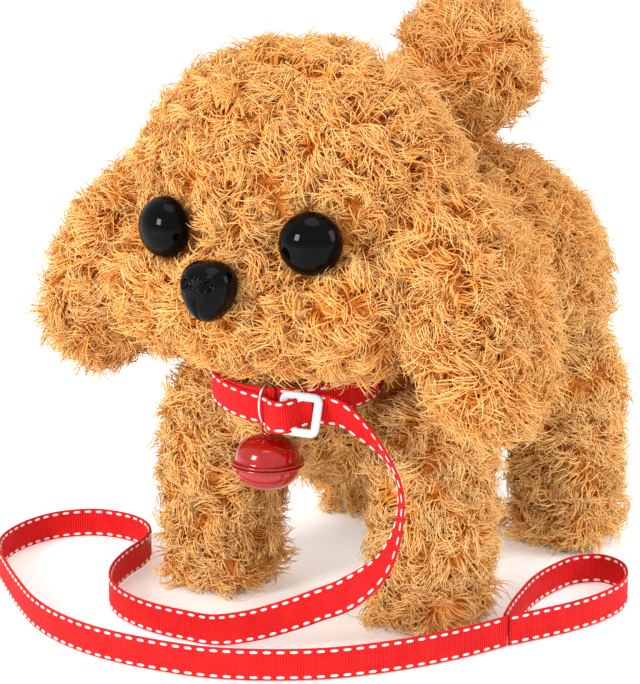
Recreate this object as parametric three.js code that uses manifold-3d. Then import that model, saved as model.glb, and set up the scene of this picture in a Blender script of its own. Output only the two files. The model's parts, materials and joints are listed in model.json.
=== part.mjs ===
// Walking plush puppy: a furry skin over a motor-driven plastic body, with four swinging legs, a
// nodding head, loose ears, a wagging tail, and a ribbon collar that carries a bell and a leash.
// Millimetres. The puppy looks along -Y, its left is +X, and +Z is up. The origin lies on the
// floor in the middle of the puppy's footprint.
import * as THREE from 'three';
import { mergeVertices } from 'three/addons/utils/BufferGeometryUtils.js';
import Module from 'manifold-3d';

const wasm = await Module();
wasm.setup();

// ---------------------------------------------------------------- driving dimensions
const GAP = 0.3; // between faces that touch on the real toy
const FUR_GAP = 1.0; // between neighbouring furry parts
const SIDES = [1, -1]; // left, right

const HEAD = { centre: [0, -53, 138], radii: [56, 42, 47] };
const MUZZLE = { centre: [0, -78, 108], radii: [36, 25, 25] };
const CHEEK = { centre: [30, -70, 109], radii: [27, 28, 24] }; // the left one
const EARS = {
  left: { centre: [62, -57, 107], radii: [19, 32, 42.5], splay: 20 },
  right: { centre: [-63, -57, 110], radii: [19, 32, 41], splay: 26 }, // the right one hangs shorter
};
const CHEST = { centre: [0, -15, 84], radii: [44, 42, 46] };
const BELLY = { centre: [0, 23, 86], radii: [48, 60, 48] };
const RUMP = { centre: [0, 59, 86], radii: [50, 54, 52] };
const NECK = { centre: [0, -50, 80], radii: [26, 25, 34] };
const TAIL = { centre: [0, 57, 165], radii: [26, 26, 26] };
const LEG = { x: 39.5, halfWidth: 22, halfLength: 23, height: 76, squareness: 2.7, sole: 0.4 };
const FRONT_LEG_Y = -39;
const HIND_LEG_Y = 59;

const LEG_PIVOT_Z = 66;
const LEG_SWING = 12; // degrees each way
const HEAD_PIVOT = [0, -41, 98];
const HEAD_NOD = 6; // degrees each way
const EAR_PIVOT = [44, -57, 142];
const EAR_LIFT = 45; // degrees outward
const TAIL_PIVOT = [0, 57, 117];
const TAIL_WAG = 18; // degrees each way

const CASING_HALF_WIDTH = 24;
const CASING_WALL = 1.8;
const CASING_FLOOR_Z = 50;
const CASING_OUTLINE = [
  [-47, 58], [-37, CASING_FLOOR_Z], [77, CASING_FLOOR_Z], [85, 60], [85, 100],
  [73, 112], [16, 112], [-16, 98], [-22, 90], [-22, 71.5], [-47, 71.5],
];

const CELL = { radius: 7.1, length: 49, x: 7.7, y: -1.5, z: 59.2 };
const TRAY = { halfWidth: 16.4, front: -6, back: 51, floor: 52, top: 68.4, wall: 1.2 };
const DOOR = { halfWidth: 15.8, front: -6.4, back: 51.4, thickness: 1.8 };
const HATCH = { halfWidth: 19, front: -26, back: 57 };

const GEAR_MODULE = 0.92;
const WHEEL_TEETH = 24;
const PINION_TEETH = 8;
const GEAR_CENTRES = (GEAR_MODULE * (WHEEL_TEETH + PINION_TEETH)) / 2 + 0.15;
const CRANK_AXIS = [10, 82]; // y, z
const GEAR_THICKNESS = 2.5;
const GEAR_LAYERS = [6, 10, 14]; // x of each layer's right face
const JOURNAL_RADIUS = 1.2;
const SHAFT_RADIUS = 1.5;

const COLLAR = { centre: [0, -55, 79.5], radius: 26, tilt: 6 };
const RIBBON_WIDTH = 10;
const RIBBON_THICKNESS = 1;
const SLIDER_ANGLE = 32; // degrees round the collar from the front, towards the left
const RING_ANGLE = 10.4;
const BELL = { x: 4.7, y: -81, z: 58.3, radius: 10.2, half: 8.4, flange: 11.3, wall: 0.7 };

// ---------------------------------------------------------------- materials
function plastic(colour, roughness = 0.5) {
  return () => new THREE.MeshStandardMaterial({ color: colour, roughness, metalness: 0 });
}

function metal(colour, roughness = 0.3) {
  return () => new THREE.MeshStandardMaterial({ color: colour, roughness, metalness: 1 });
}

const fur = plastic('#d99a55', 0.95);
const ribbonRed = plastic('#d8121f', 0.8);
const glossBlack = plastic('#050505', 0.08);
const bellRed = plastic('#c8101a', 0.2);
const casingGrey = plastic('#c9c6bd');
const nylonWhite = plastic('#f2efe6', 0.4);
const nylonBlack = plastic('#26262a', 0.45);
const steel = metal('#b8bcc2');
const nickel = metal('#d6d6d2', 0.25);
const boardGreen = plastic('#1d6b3a', 0.5);
const cellBlue = plastic('#27508c', 0.35);

// ---------------------------------------------------------------- helpers
const puppy = new THREE.Group();

function addPiece(name, material, geometry, parent = puppy) {
  const mesh = new THREE.Mesh(geometry, material());
  mesh.name = name;
  parent.add(mesh);
  return mesh;
}

function sideName(side) {
  return side > 0 ? 'left' : 'right';
}

function toSolid(source) {
  const geometry = source.clone();
  geometry.deleteAttribute('normal');
  geometry.deleteAttribute('uv');
  const merged = mergeVertices(geometry, 1e-4);
  return new wasm.Manifold(new wasm.Mesh({
    numProp: 3,
    vertProperties: new Float32Array(merged.attributes.position.array),
    triVerts: new Uint32Array(merged.index.array),
  }));
}

function toGeometry(solid) {
  const mesh = solid.getMesh();
  const geometry = new THREE.BufferGeometry();
  geometry.setAttribute('position', new THREE.BufferAttribute(mesh.vertProperties, 3));
  geometry.setIndex(new THREE.BufferAttribute(mesh.triVerts, 1));
  geometry.computeVertexNormals();
  return geometry;
}

function join(...geometries) {
  return toGeometry(geometries.map(toSolid).reduce((sum, next) => sum.add(next)));
}

function cut(geometry, ...tools) {
  return toGeometry(tools.map(toSolid).reduce((rest, tool) => rest.subtract(tool), toSolid(geometry)));
}

function block(xRange, yRange, zRange) {
  const size = [xRange, yRange, zRange].map(([low, high]) => high - low);
  const middle = [xRange, yRange, zRange].map(([low, high]) => (high + low) / 2);
  return new THREE.BoxGeometry(...size).translate(...middle);
}

function ellipsoid({ centre, radii }, grow = 0, around = 24, up = 16) {
  return new THREE.SphereGeometry(1, around, up)
    .rotateX(Math.PI / 2)
    .scale(...radii.map((radius) => radius + grow))
    .translate(...centre);
}

// A round bar between two X positions, centred on (y, z).
function barAlongX(radius, fromX, toX, y, z, sides = 16) {
  return new THREE.CylinderGeometry(radius, radius, toX - fromX, sides)
    .rotateZ(Math.PI / 2)
    .translate((fromX + toX) / 2, y, z);
}

function turned(geometry, pivot, axis, degrees) {
  const turn = new THREE.Matrix4()
    .makeTranslation(...pivot)
    .multiply(new THREE.Matrix4().makeRotationAxis(axis, THREE.MathUtils.degToRad(degrees)))
    .multiply(new THREE.Matrix4().makeTranslation(...pivot.map((value) => -value)));
  return geometry.clone().applyMatrix4(turn);
}

// The space that a shape passes through while it turns about a pivot.
function swept(geometry, pivot, axis, angles) {
  return join(...angles.map((angle) => turned(geometry, pivot, axis, angle)));
}

const X_AXIS = new THREE.Vector3(1, 0, 0);
const Y_AXIS = new THREE.Vector3(0, 1, 0);

function bothWays(angle) {
  return [-angle, 0, angle];
}

// An outline drawn in the YZ plane and extruded from one X position to another.
function plateAlongX(outline, fromX, toX, holes = []) {
  const shape = outline instanceof THREE.Shape ? outline : new THREE.Shape(
    outline.map(([y, z]) => new THREE.Vector2(y, z)),
  );
  for (const { y, z, radius } of holes) {
    shape.holes.push(new THREE.Path().absarc(y, z, radius, 0, Math.PI * 2, true));
  }
  const geometry = new THREE.ExtrudeGeometry(shape, {
    depth: toX - fromX, bevelEnabled: false, curveSegments: 5,
  });
  const basis = new THREE.Matrix4().makeBasis(Y_AXIS, new THREE.Vector3(0, 0, 1), X_AXIS);
  return geometry.applyMatrix4(basis).translate(fromX, 0, 0);
}

// ---------------------------------------------------------------- shapes of the furry parts
function headShape(grow) {
  const cheeks = SIDES.map((side) => {
    const [x, y, z] = CHEEK.centre;
    return ellipsoid({ centre: [side * x, y, z], radii: CHEEK.radii }, grow, 12, 8);
  });
  return join(ellipsoid(HEAD, grow, 18, 12), ellipsoid(MUZZLE, grow, 14, 9), ...cheeks);
}

function earShape(side, grow) {
  const { centre, radii, splay } = EARS[sideName(side)];
  const upright = ellipsoid({ centre: [0, 0, 0], radii }, grow, 16, 10);
  return upright.rotateY(THREE.MathUtils.degToRad(-side * splay)).translate(...centre);
}

// A rounded column with a flat sole: a superellipse turned about its own axis, then squashed to
// the leg's width.
function legShape(side, y, grow) {
  const rings = 8;
  const power = 2 / LEG.squareness;
  const profile = [new THREE.Vector2(0, -1), new THREE.Vector2(LEG.sole, -1)];
  for (let i = 1; i < rings; i += 1) {
    const angle = -Math.PI / 2 + (i * Math.PI) / rings;
    const height = Math.sign(Math.sin(angle)) * Math.abs(Math.sin(angle)) ** power;
    profile.push(new THREE.Vector2(Math.cos(angle) ** power, height));
  }
  profile.push(new THREE.Vector2(0, 1));
  return new THREE.LatheGeometry(profile, 14)
    .rotateX(Math.PI / 2)
    .scale(LEG.halfWidth + grow, LEG.halfLength + grow, LEG.height / 2 + grow)
    .translate(side * LEG.x, y, LEG.height / 2);
}

function tailShape(grow) {
  return ellipsoid(TAIL, grow, 14, 10);
}

// ---------------------------------------------------------------- legs
const CRANK_DISC = {
  radius: 8, from: CASING_HALF_WIDTH + 0.6, thickness: 1.6, throw: 5, stubRadius: 1.4, stubTip: 2.2,
};
const LEVER = { thickness: 1.8, hubRadius: 5, arm: 6, tipRadius: 4 };
const LEVER_LAYERS = { front: CASING_HALF_WIDTH + 3.2, hind: CASING_HALF_WIDTH + 5.6 };
const SHANK = { from: CASING_HALF_WIDTH + 5.6, to: CASING_HALF_WIDTH + 11.6, halfWidth: 4 };
const FOOT = { from: 29, to: 49, halfLength: 12, low: 7, high: 12 };

// An arm with parallel edges between two points of the YZ plane.
function armOutline([y1, z1], [y2, z2], width) {
  const length = Math.hypot(y2 - y1, z2 - z1);
  const across = [(-(z2 - z1) / length) * (width / 2), ((y2 - y1) / length) * (width / 2)];
  return [
    [y1 - across[0], z1 - across[1]], [y2 - across[0], z2 - across[1]],
    [y2 + across[0], z2 + across[1]], [y1 + across[0], z1 + across[1]],
  ];
}

function legLever(side, y, layer) {
  const low = Math.min(side * layer, side * (layer + LEVER.thickness));
  const high = low + LEVER.thickness;
  const hub = barAlongX(LEVER.hubRadius, ...outward(side, layer, SHANK.to), y, LEG_PIVOT_Z);
  const arm = plateAlongX(armOutline([y, LEG_PIVOT_Z], CRANK_AXIS, LEVER.arm), low, high);
  const tip = barAlongX(LEVER.tipRadius, low, high, ...CRANK_AXIS);
  const shank = block(
    outward(side, SHANK.from, SHANK.to), [y - SHANK.halfWidth, y + SHANK.halfWidth],
    [FOOT.low + 1, LEG_PIVOT_Z],
  );
  const foot = block(
    outward(side, FOOT.from, FOOT.to), [y - FOOT.halfLength, y + FOOT.halfLength],
    [FOOT.low, FOOT.high],
  );
  return join(hub, arm, tip, shank, foot);
}

function outward(side, near, far) {
  return side > 0 ? [near, far] : [-far, -near];
}

// The lever with clearance all round, for the hollow that it sits in.
function leverPocket(side, y) {
  const reach = LEVER.hubRadius + GAP;
  return join(
    block(outward(side, 0, SHANK.to + GAP), [y - reach, y + reach], [LEG_PIVOT_Z - reach, LEG.height + 1]),
    block(
      outward(side, SHANK.from - GAP, SHANK.to + GAP),
      [y - SHANK.halfWidth - GAP, y + SHANK.halfWidth + GAP], [FOOT.low, LEG_PIVOT_Z],
    ),
    block(
      outward(side, FOOT.from - GAP, FOOT.to + GAP),
      [y - FOOT.halfLength - GAP, y + FOOT.halfLength + GAP], [FOOT.low - GAP, FOOT.high + GAP],
    ),
  );
}

const legPlaces = [
  { end: 'front', y: FRONT_LEG_Y, layer: LEVER_LAYERS.front },
  { end: 'hind', y: HIND_LEG_Y, layer: LEVER_LAYERS.hind },
];

for (const { end, y, layer } of legPlaces) {
  for (const side of SIDES) {
    const lever = legLever(side, y, layer);
    const axleHole = barAlongX(SHAFT_RADIUS + GAP, ...outward(side, 0, SHANK.to - 1.5), y, LEG_PIVOT_Z);
    const besideCasing = block(
      outward(side, 0, LEVER_LAYERS.hind + LEVER.thickness + 0.6), [y - 30, y + 30], [43, 80],
    );
    const skin = cut(legShape(side, y, 0), besideCasing, leverPocket(side, y));
    addPiece(`${end}_leg_skin_${sideName(side)}`, fur, skin);
    addPiece(`${end}_leg_lever_${sideName(side)}`, nylonWhite, cut(lever, axleHole));
  }
  const reach = SHANK.to - 2;
  addPiece(`${end}_axle`, steel, barAlongX(SHAFT_RADIUS, -reach, reach, y, LEG_PIVOT_Z, 16));
}

// ---------------------------------------------------------------- body skin
const casingHollow = plateAlongX(
  movedOut(CASING_OUTLINE, 1), -CASING_HALF_WIDTH - 1, CASING_HALF_WIDTH + 1,
);

// An anticlockwise outline with every edge moved out by a distance.
function movedOut(outline, out) {
  const corners = outline.map(([y, z]) => new THREE.Vector2(y, z));
  const edgeNormal = (from, to) => new THREE.Vector2(to.y - from.y, from.x - to.x).normalize();
  return corners.map((corner, i) => {
    const before = edgeNormal(corners.at(i - 1), corner);
    const after = edgeNormal(corner, corners[(i + 1) % corners.length]);
    const reach = out / (1 + before.dot(after));
    const moved = corner.clone().addScaledVector(before.add(after), reach);
    return [moved.x, moved.y];
  });
}

function collarChannel() {
  const [x, y, z] = COLLAR.centre;
  const inner = COLLAR.radius - 3.4;
  const outer = COLLAR.radius + 5;
  const half = RIBBON_WIDTH / 2 + 1.4;
  const profile = [[inner, -half], [outer, -half], [outer, half], [inner, half], [inner, -half]];
  return new THREE.LatheGeometry(profile.map(([r, h]) => new THREE.Vector2(r, h)), 24)
    .rotateX(Math.PI / 2)
    .rotateX(THREE.MathUtils.degToRad(COLLAR.tilt))
    .translate(x, y, z);
}

function bodySkin() {
  const outer = join(
    ellipsoid(RUMP, 0, 18, 12), ellipsoid(BELLY, 0, 16, 12), ellipsoid(CHEST, 0, 16, 10),
    ellipsoid(NECK, 0, 14, 10),
  );
  const armReach = LEVER_LAYERS.hind + LEVER.thickness + 0.6;
  const armSpace = block([-armReach, armReach], [FRONT_LEG_Y, HIND_LEG_Y], [56, 96]);
  const legSpaces = legPlaces.flatMap(({ y }) => SIDES.map((side) => swept(
    legShape(side, y, FUR_GAP), [0, y, LEG_PIVOT_Z], X_AXIS, bothWays(LEG_SWING),
  )));
  const headSpace = swept(headShape(FUR_GAP), HEAD_PIVOT, X_AXIS, bothWays(HEAD_NOD));
  const tailSpace = swept(tailShape(FUR_GAP), TAIL_PIVOT, Y_AXIS, bothWays(TAIL_WAG));
  const tailSlot = block([-13, 13], [TAIL_PIVOT[1] - 6, TAIL_PIVOT[1] + 6], [108, 145]);
  const neckSlot = block([-10, 10], [-52, -20], [85, 120]);
  const hatch = block([-HATCH.halfWidth, HATCH.halfWidth], [HATCH.front, HATCH.back], [30, 60]);
  return cut(
    outer, casingHollow, armSpace, ...legSpaces, headSpace, tailSpace, tailSlot, neckSlot, hatch,
    collarChannel(),
  );
}

addPiece('body_skin', fur, bodySkin());

// ---------------------------------------------------------------- head, eyes, nose, ears
const EYE = { at: [25, -88.3, 129.5], radius: 9.7, dome: 8.4, rim: 1.2, shank: 12, turn: 24 };
const NOSE = { at: [0, -104.8, 115.5], width: 9.4, depth: 8, height: 9.2, shank: 12 };

function eyeShape(grow) {
  const steps = 5;
  const profile = [
    [0, -EYE.shank - grow], [2 + grow, -EYE.shank - grow], [2 + grow, -grow], [EYE.radius + grow, -grow],
  ];
  for (let i = 0; i < steps; i += 1) {
    const angle = (i * Math.PI) / (2 * steps);
    profile.push([
      (EYE.radius + grow) * Math.cos(angle), EYE.rim + (EYE.dome - EYE.rim + grow) * Math.sin(angle),
    ]);
  }
  profile.push([0, EYE.dome + grow]);
  return new THREE.LatheGeometry(profile.map(([r, h]) => new THREE.Vector2(r, h)), 16);
}

// Turns a shape made along +Y so that it looks out of the face at the eye's place.
function atEye(geometry, side) {
  const [x, y, z] = EYE.at;
  return geometry
    .rotateZ(Math.PI)
    .rotateZ(THREE.MathUtils.degToRad(side * EYE.turn))
    .translate(side * x, y, z);
}

const WASHER = { bore: 2.4, radius: 7, half: 1, depth: EYE.shank - 3 };

function washerShape() {
  const { bore, radius, half } = WASHER;
  const profile = [[bore, -half], [radius, -half], [radius, half], [bore, half], [bore, -half]];
  return new THREE.LatheGeometry(profile.map(([r, h]) => new THREE.Vector2(r, h)), 20)
    .translate(0, -WASHER.depth, 0);
}

// A rounded button, wide at the top and narrow at the bottom.
function noseShape(grow) {
  const button = new THREE.SphereGeometry(1, 16, 10).rotateX(Math.PI / 2);
  const position = button.attributes.position;
  for (let i = 0; i < position.count; i += 1) {
    const height = position.getZ(i);
    const taper = 0.86 + 0.2 * height;
    position.setXYZ(
      i, position.getX(i) * (NOSE.width + grow) * taper,
      position.getY(i) * (NOSE.depth + grow), height * (NOSE.height + grow),
    );
  }
  const shank = new THREE.CylinderGeometry(2 + grow, 2 + grow, NOSE.shank, 12)
    .translate(0, NOSE.shank / 2, 0);
  return join(button, shank).translate(...NOSE.at);
}

const CORE = { radius: 22, thickness: 2, y: -50, z: 114 };

function coreDisc(grow) {
  return new THREE.CylinderGeometry(CORE.radius + grow, CORE.radius + grow, CORE.thickness + 2 * grow, 24)
    .rotateX(Math.PI / 2)
    .translate(0, CORE.y, CORE.z);
}

function headCore() {
  const arms = SIDES.map((side) => block(outward(side, 5.2, 8), [-45, -37], [94, CORE.z]));
  const pinHole = barAlongX(SHAFT_RADIUS + GAP, -10, 10, HEAD_PIVOT[1], HEAD_PIVOT[2], 16);
  return cut(join(coreDisc(0), ...arms), pinHole);
}

function headSkin() {
  const coreSpace = join(
    coreDisc(GAP),
    block([-10.5, 10.5], [CORE.y - 2, CORE.y + 20], [80, CORE.z]),
  );
  const washerRadius = WASHER.radius + GAP + 0.1;
  const washerSpace = () => new THREE.CylinderGeometry(
    washerRadius, washerRadius, 2 * WASHER.half + 0.8, 20,
  ).translate(0, -WASHER.depth, 0);
  const eyeSpaces = SIDES.flatMap((side) => [
    atEye(eyeShape(GAP), side), atEye(washerSpace(), side),
  ]);
  const collarSpace = swept(collarChannel(), HEAD_PIVOT, X_AXIS, [-HEAD_NOD, 0]);
  return cut(headShape(0), coreSpace, ...eyeSpaces, noseShape(GAP), collarSpace);
}

addPiece('head_skin', fur, headSkin());
addPiece('head_core', nylonWhite, headCore());
addPiece('nose', glossBlack, noseShape(0));

for (const side of SIDES) {
  addPiece(`eye_${sideName(side)}`, glossBlack, atEye(eyeShape(0), side));
  addPiece(`eye_washer_${sideName(side)}`, nylonWhite, atEye(washerShape(), side));
  const headSeenFromEar = swept(
    headShape(FUR_GAP), [side * EAR_PIVOT[0], EAR_PIVOT[1], EAR_PIVOT[2]], Y_AXIS,
    [0, side * EAR_LIFT / 3, (side * EAR_LIFT * 2) / 3, side * EAR_LIFT],
  );
  addPiece(`ear_${sideName(side)}`, fur, cut(earShape(side, 0), headSeenFromEar));
}

const bracketFoot = block([-8, 8], [-24.4, -22.4], [86.5, 91]);
const bracketArm = block([-4.5, 4.5], [-44, -23], [88, 91]);
const bracketPost = block([-4.5, 4.5], [-44, -38], [88, 102]);
const bracketHole = barAlongX(SHAFT_RADIUS + GAP, -10, 10, HEAD_PIVOT[1], HEAD_PIVOT[2], 16);
addPiece('neck_bracket', casingGrey, cut(join(bracketFoot, bracketArm, bracketPost), bracketHole));
addPiece('neck_pin', steel, barAlongX(SHAFT_RADIUS, -9, 9, HEAD_PIVOT[1], HEAD_PIVOT[2], 12));

// ---------------------------------------------------------------- tail
const tailStem = new THREE.CylinderGeometry(2, 2, 44, 12)
  .rotateX(Math.PI / 2)
  .translate(TAIL_PIVOT[0], TAIL_PIVOT[1], TAIL_PIVOT[2] + 22);
const tailEye = new THREE.CylinderGeometry(3.4, 3.4, 3, 16)
  .translate(...TAIL_PIVOT);
const tailPinHole = new THREE.CylinderGeometry(1.2 + GAP, 1.2 + GAP, 8, 12).translate(...TAIL_PIVOT);
addPiece('tail_lever', nylonWhite, cut(join(tailStem, tailEye), tailPinHole));
const tailSocket = new THREE.CylinderGeometry(2 + GAP, 2 + GAP, 50, 12)
  .rotateX(Math.PI / 2)
  .translate(TAIL_PIVOT[0], TAIL_PIVOT[1], TAIL_PIVOT[2] + 19 + GAP);
addPiece('tail_pompom', fur, cut(tailShape(0), tailSocket));
const tailCheeks = SIDES.map((side) => block(
  [-4, 4], [TAIL_PIVOT[1] + Math.min(side * 2, side * 4), TAIL_PIVOT[1] + Math.max(side * 2, side * 4)],
  [112.4, 119],
));
const tailBase = block([-5, 5], [TAIL_PIVOT[1] - 5, TAIL_PIVOT[1] + 5], [112.4, 113.4]);
const tailPin = new THREE.CylinderGeometry(1.2, 1.2, 6, 12).translate(...TAIL_PIVOT);
addPiece('tail_bracket', casingGrey, join(tailBase, ...tailCheeks, tailPin));

// ---------------------------------------------------------------- casing
const SWITCH = { y: -20, half: 5, height: 6, travel: 4 };
const SPEAKER = { y: 64.2, radius: 12, low: 52.4 };

function casingHalf(side) {
  const [low, high] = outward(side, GAP / 2, CASING_HALF_WIDTH);
  const shell = plateAlongX(CASING_OUTLINE, low, high);
  const [hollowLow, hollowHigh] = outward(side, -1, CASING_HALF_WIDTH - CASING_WALL);
  const hollow = plateAlongX(movedOut(CASING_OUTLINE, -CASING_WALL), hollowLow, hollowHigh);
  const axleHoles = [[FRONT_LEG_Y, LEG_PIVOT_Z], [HIND_LEG_Y, LEG_PIVOT_Z], CRANK_AXIS].map(
    ([y, z]) => barAlongX(SHAFT_RADIUS + GAP, -30, 30, y, z, 16),
  );
  const doorHole = block(
    [-TRAY.halfWidth - GAP, TRAY.halfWidth + GAP], [DOOR.front - GAP, DOOR.back + GAP], [40, 55],
  );
  const switchHole = block([-6, 6], [SWITCH.y - 2.2, SWITCH.y + 2.2], [40, 55]);
  const soundSlots = [-6, 0, 6].map((offset) => block(
    [-8, 8], [SPEAKER.y + offset - 1, SPEAKER.y + offset + 1], [45, 55],
  ));
  return cut(shell, hollow, ...axleHoles, doorHole, switchHole, ...soundSlots);
}

for (const side of SIDES) {
  addPiece(`casing_${sideName(side)}`, casingGrey, casingHalf(side));
}

// ---------------------------------------------------------------- battery bay
const trayOuter = block(
  [-TRAY.halfWidth, TRAY.halfWidth], [TRAY.front, TRAY.back], [TRAY.floor, TRAY.top],
);
const trayInner = block(
  [-TRAY.halfWidth + TRAY.wall, TRAY.halfWidth - TRAY.wall],
  [TRAY.front + TRAY.wall, TRAY.back - TRAY.wall], [TRAY.floor - 1, TRAY.top - TRAY.wall],
);
addPiece('battery_tray', nylonBlack, cut(trayOuter, trayInner));

function cellShape() {
  const { radius, length } = CELL;
  const profile = [
    [0, 0], [radius - 0.6, 0], [radius, 0.6], [radius, length - 0.8], [radius - 0.8, length],
    [2.6, length], [2.6, length + 1.2], [0, length + 1.2],
  ];
  return new THREE.LatheGeometry(profile.map(([r, h]) => new THREE.Vector2(r, h)), 16);
}

class Helix extends THREE.Curve {
  constructor(radius, length, turns) {
    super();
    this.radius = radius;
    this.length = length;
    this.turns = turns;
  }

  getPoint(t, target = new THREE.Vector3()) {
    const angle = t * this.turns * Math.PI * 2;
    return target.set(this.radius * Math.cos(angle), t * this.length, this.radius * Math.sin(angle));
  }
}

function wireSection(radius, sides) {
  const shape = new THREE.Shape();
  for (let i = 0; i < sides; i += 1) {
    const angle = (i * Math.PI * 2) / sides;
    shape[i === 0 ? 'moveTo' : 'lineTo'](radius * Math.cos(angle), radius * Math.sin(angle));
  }
  shape.closePath();
  return shape;
}

const SPRING = { coil: 3, wire: 0.35, length: 1.9, turns: 2.5 };
const cellTop = CELL.y + CELL.length + 1.2;
for (const side of SIDES) {
  const cell = addPiece(`battery_cell_${sideName(side)}`, cellBlue, cellShape());
  cell.position.set(side * CELL.x, CELL.y, CELL.z);
  const spring = addPiece(`contact_spring_${sideName(side)}`, nickel, new THREE.ExtrudeGeometry(
    wireSection(SPRING.wire, 6),
    { steps: 20, extrudePath: new Helix(SPRING.coil, SPRING.length, SPRING.turns) },
  ));
  spring.position.set(side * CELL.x, TRAY.front + TRAY.wall + 0.65, CELL.z);
}
addPiece('contact_plate', nickel, block(
  [-TRAY.halfWidth + 3, TRAY.halfWidth - 3], [cellTop + 0.4, cellTop + 0.8], [CELL.z - 4, CELL.z + 4],
));

const doorLow = CASING_FLOOR_Z - GAP;
const doorPlate = block(
  [-DOOR.halfWidth, DOOR.halfWidth], [DOOR.front, DOOR.back], [doorLow, doorLow + DOOR.thickness],
);
const doorScrewY = DOOR.back - 4;
const screwSpace = new THREE.CylinderGeometry(1.5, 1.5, 10, 12)
  .rotateX(Math.PI / 2)
  .translate(0, doorScrewY, doorLow);
addPiece('battery_door', casingGrey, cut(doorPlate, screwSpace));
const screwProfile = [[0, 0], [2.6, 0], [2.6, 1.1], [1.2, 1.5], [1.2, 3.4], [0, 3.4]];
const doorScrew = addPiece('door_screw', steel, new THREE.LatheGeometry(
  screwProfile.map(([r, h]) => new THREE.Vector2(r, h)), 16,
).rotateX(Math.PI / 2));
doorScrew.position.set(0, doorScrewY, doorLow - 1.8);

// ---------------------------------------------------------------- switch, speaker, board
addPiece('switch_body', nylonBlack, block(
  [-7, 7], [SWITCH.y - SWITCH.half, SWITCH.y + SWITCH.half], [52.4, 52.4 + SWITCH.height],
));
const sliderCap = block([-3.6, -0.4], [SWITCH.y - 1.6, SWITCH.y + 1.6], [47.6, 52]);
addPiece('switch_slider', nylonBlack, sliderCap);

const speakerProfile = [
  [0, 6], [6, 6], [6, 3.4], [SPEAKER.radius, 1.2], [SPEAKER.radius, 0], [SPEAKER.radius - 1.6, 0],
  [SPEAKER.radius - 1.6, 0.8], [5, 2.8], [0, 2.8],
];
const speaker = addPiece('speaker_basket', steel, new THREE.LatheGeometry(
  speakerProfile.map(([r, h]) => new THREE.Vector2(r, h)).reverse(), 16,
).rotateX(Math.PI / 2));
speaker.position.set(0, SPEAKER.y, SPEAKER.low);
const coneProfile = [
  [0, 2], [4.6, 2], [SPEAKER.radius - 2.2, 0.2], [SPEAKER.radius - 2.2, -0.2], [4.4, 1.6], [0, 1.6],
];
const cone = addPiece('speaker_cone', nylonBlack, new THREE.LatheGeometry(
  coneProfile.map(([r, h]) => new THREE.Vector2(r, h)).reverse(), 16,
).rotateX(Math.PI / 2));
cone.position.set(0, SPEAKER.y, SPEAKER.low + 0.3);

const boardPlate = block([-18, 18], [66, 67.4], [72, 106]);
const chips = [
  block([-8, 4], [64.2, 66.5], [86, 96]), block([8, 13], [63, 66.5], [76, 81]),
  block([-14, -9], [64.6, 66.5], [76, 82]),
];
addPiece('circuit_board', boardGreen, join(boardPlate, ...chips));

// ---------------------------------------------------------------- gear train
// Teeth are trapezoids. The first tooth points along `phase`, in radians from +Y towards +Z.
function gearOutline(teeth, phase, centre) {
  const pitch = (GEAR_MODULE * teeth) / 2;
  const tip = pitch + 0.8 * GEAR_MODULE;
  const root = pitch - 1.15 * GEAR_MODULE;
  const step = (Math.PI * 2) / teeth;
  const corners = [[root, -0.3], [tip, -0.11], [tip, 0.11], [root, 0.3]];
  const points = [];
  for (let i = 0; i < teeth; i += 1) {
    for (const [radius, part] of corners) {
      const angle = phase + (i + part) * step;
      points.push([centre[0] + radius * Math.cos(angle), centre[1] + radius * Math.sin(angle)]);
    }
  }
  return points;
}

function gearWheel(teeth, phase, centre, layer) {
  const low = GEAR_LAYERS[layer];
  return plateAlongX(gearOutline(teeth, phase, centre), low, low + GEAR_THICKNESS);
}

function step([y, z], degrees) {
  const angle = THREE.MathUtils.degToRad(degrees);
  return [y + GEAR_CENTRES * Math.cos(angle), z + GEAR_CENTRES * Math.sin(angle)];
}

// Each mesh lies along a line of centres. A wheel has a tooth on that line, and its pinion a space.
const MESH_ANGLES = [20, 40, -32];
const secondAxis = step(CRANK_AXIS, MESH_ANGLES[0]);
const firstAxis = step(secondAxis, MESH_ANGLES[1]);
const motorAxis = step(firstAxis, MESH_ANGLES[2]);
const meshAngles = MESH_ANGLES.map((degrees) => THREE.MathUtils.degToRad(degrees));
const pinionPhase = (angle) => angle + Math.PI + Math.PI / PINION_TEETH;
const plates = { left: [17.6, 19.2], right: [3, 4.6] };

function shaftHole([y, z], radius) {
  return barAlongX(radius, -40, 40, y, z, 16);
}

const crankWheel = gearWheel(WHEEL_TEETH, meshAngles[0], CRANK_AXIS, 0);
addPiece('crank_gear', nylonWhite, cut(crankWheel, shaftHole(CRANK_AXIS, SHAFT_RADIUS + GAP)));
addPiece('second_gear', nylonWhite, join(
  gearWheel(PINION_TEETH, pinionPhase(meshAngles[0]), secondAxis, 0),
  gearWheel(WHEEL_TEETH, meshAngles[1], secondAxis, 1),
  barAlongX(JOURNAL_RADIUS, plates.right[0], plates.left[1], ...secondAxis, 12),
));
addPiece('first_gear', nylonWhite, join(
  gearWheel(PINION_TEETH, pinionPhase(meshAngles[1]), firstAxis, 1),
  gearWheel(WHEEL_TEETH, meshAngles[2], firstAxis, 2),
  barAlongX(JOURNAL_RADIUS, plates.right[0], plates.left[1], ...firstAxis, 12),
));
const MOTOR = { radius: 10, flat: 7.5, from: -20, to: 2.6 };
addPiece('motor_pinion', nylonWhite, join(
  gearWheel(PINION_TEETH, pinionPhase(meshAngles[2]), motorAxis, 2),
  barAlongX(1, MOTOR.to + 0.4, GEAR_LAYERS[2] + GEAR_THICKNESS, ...motorAxis, 12),
));
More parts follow.
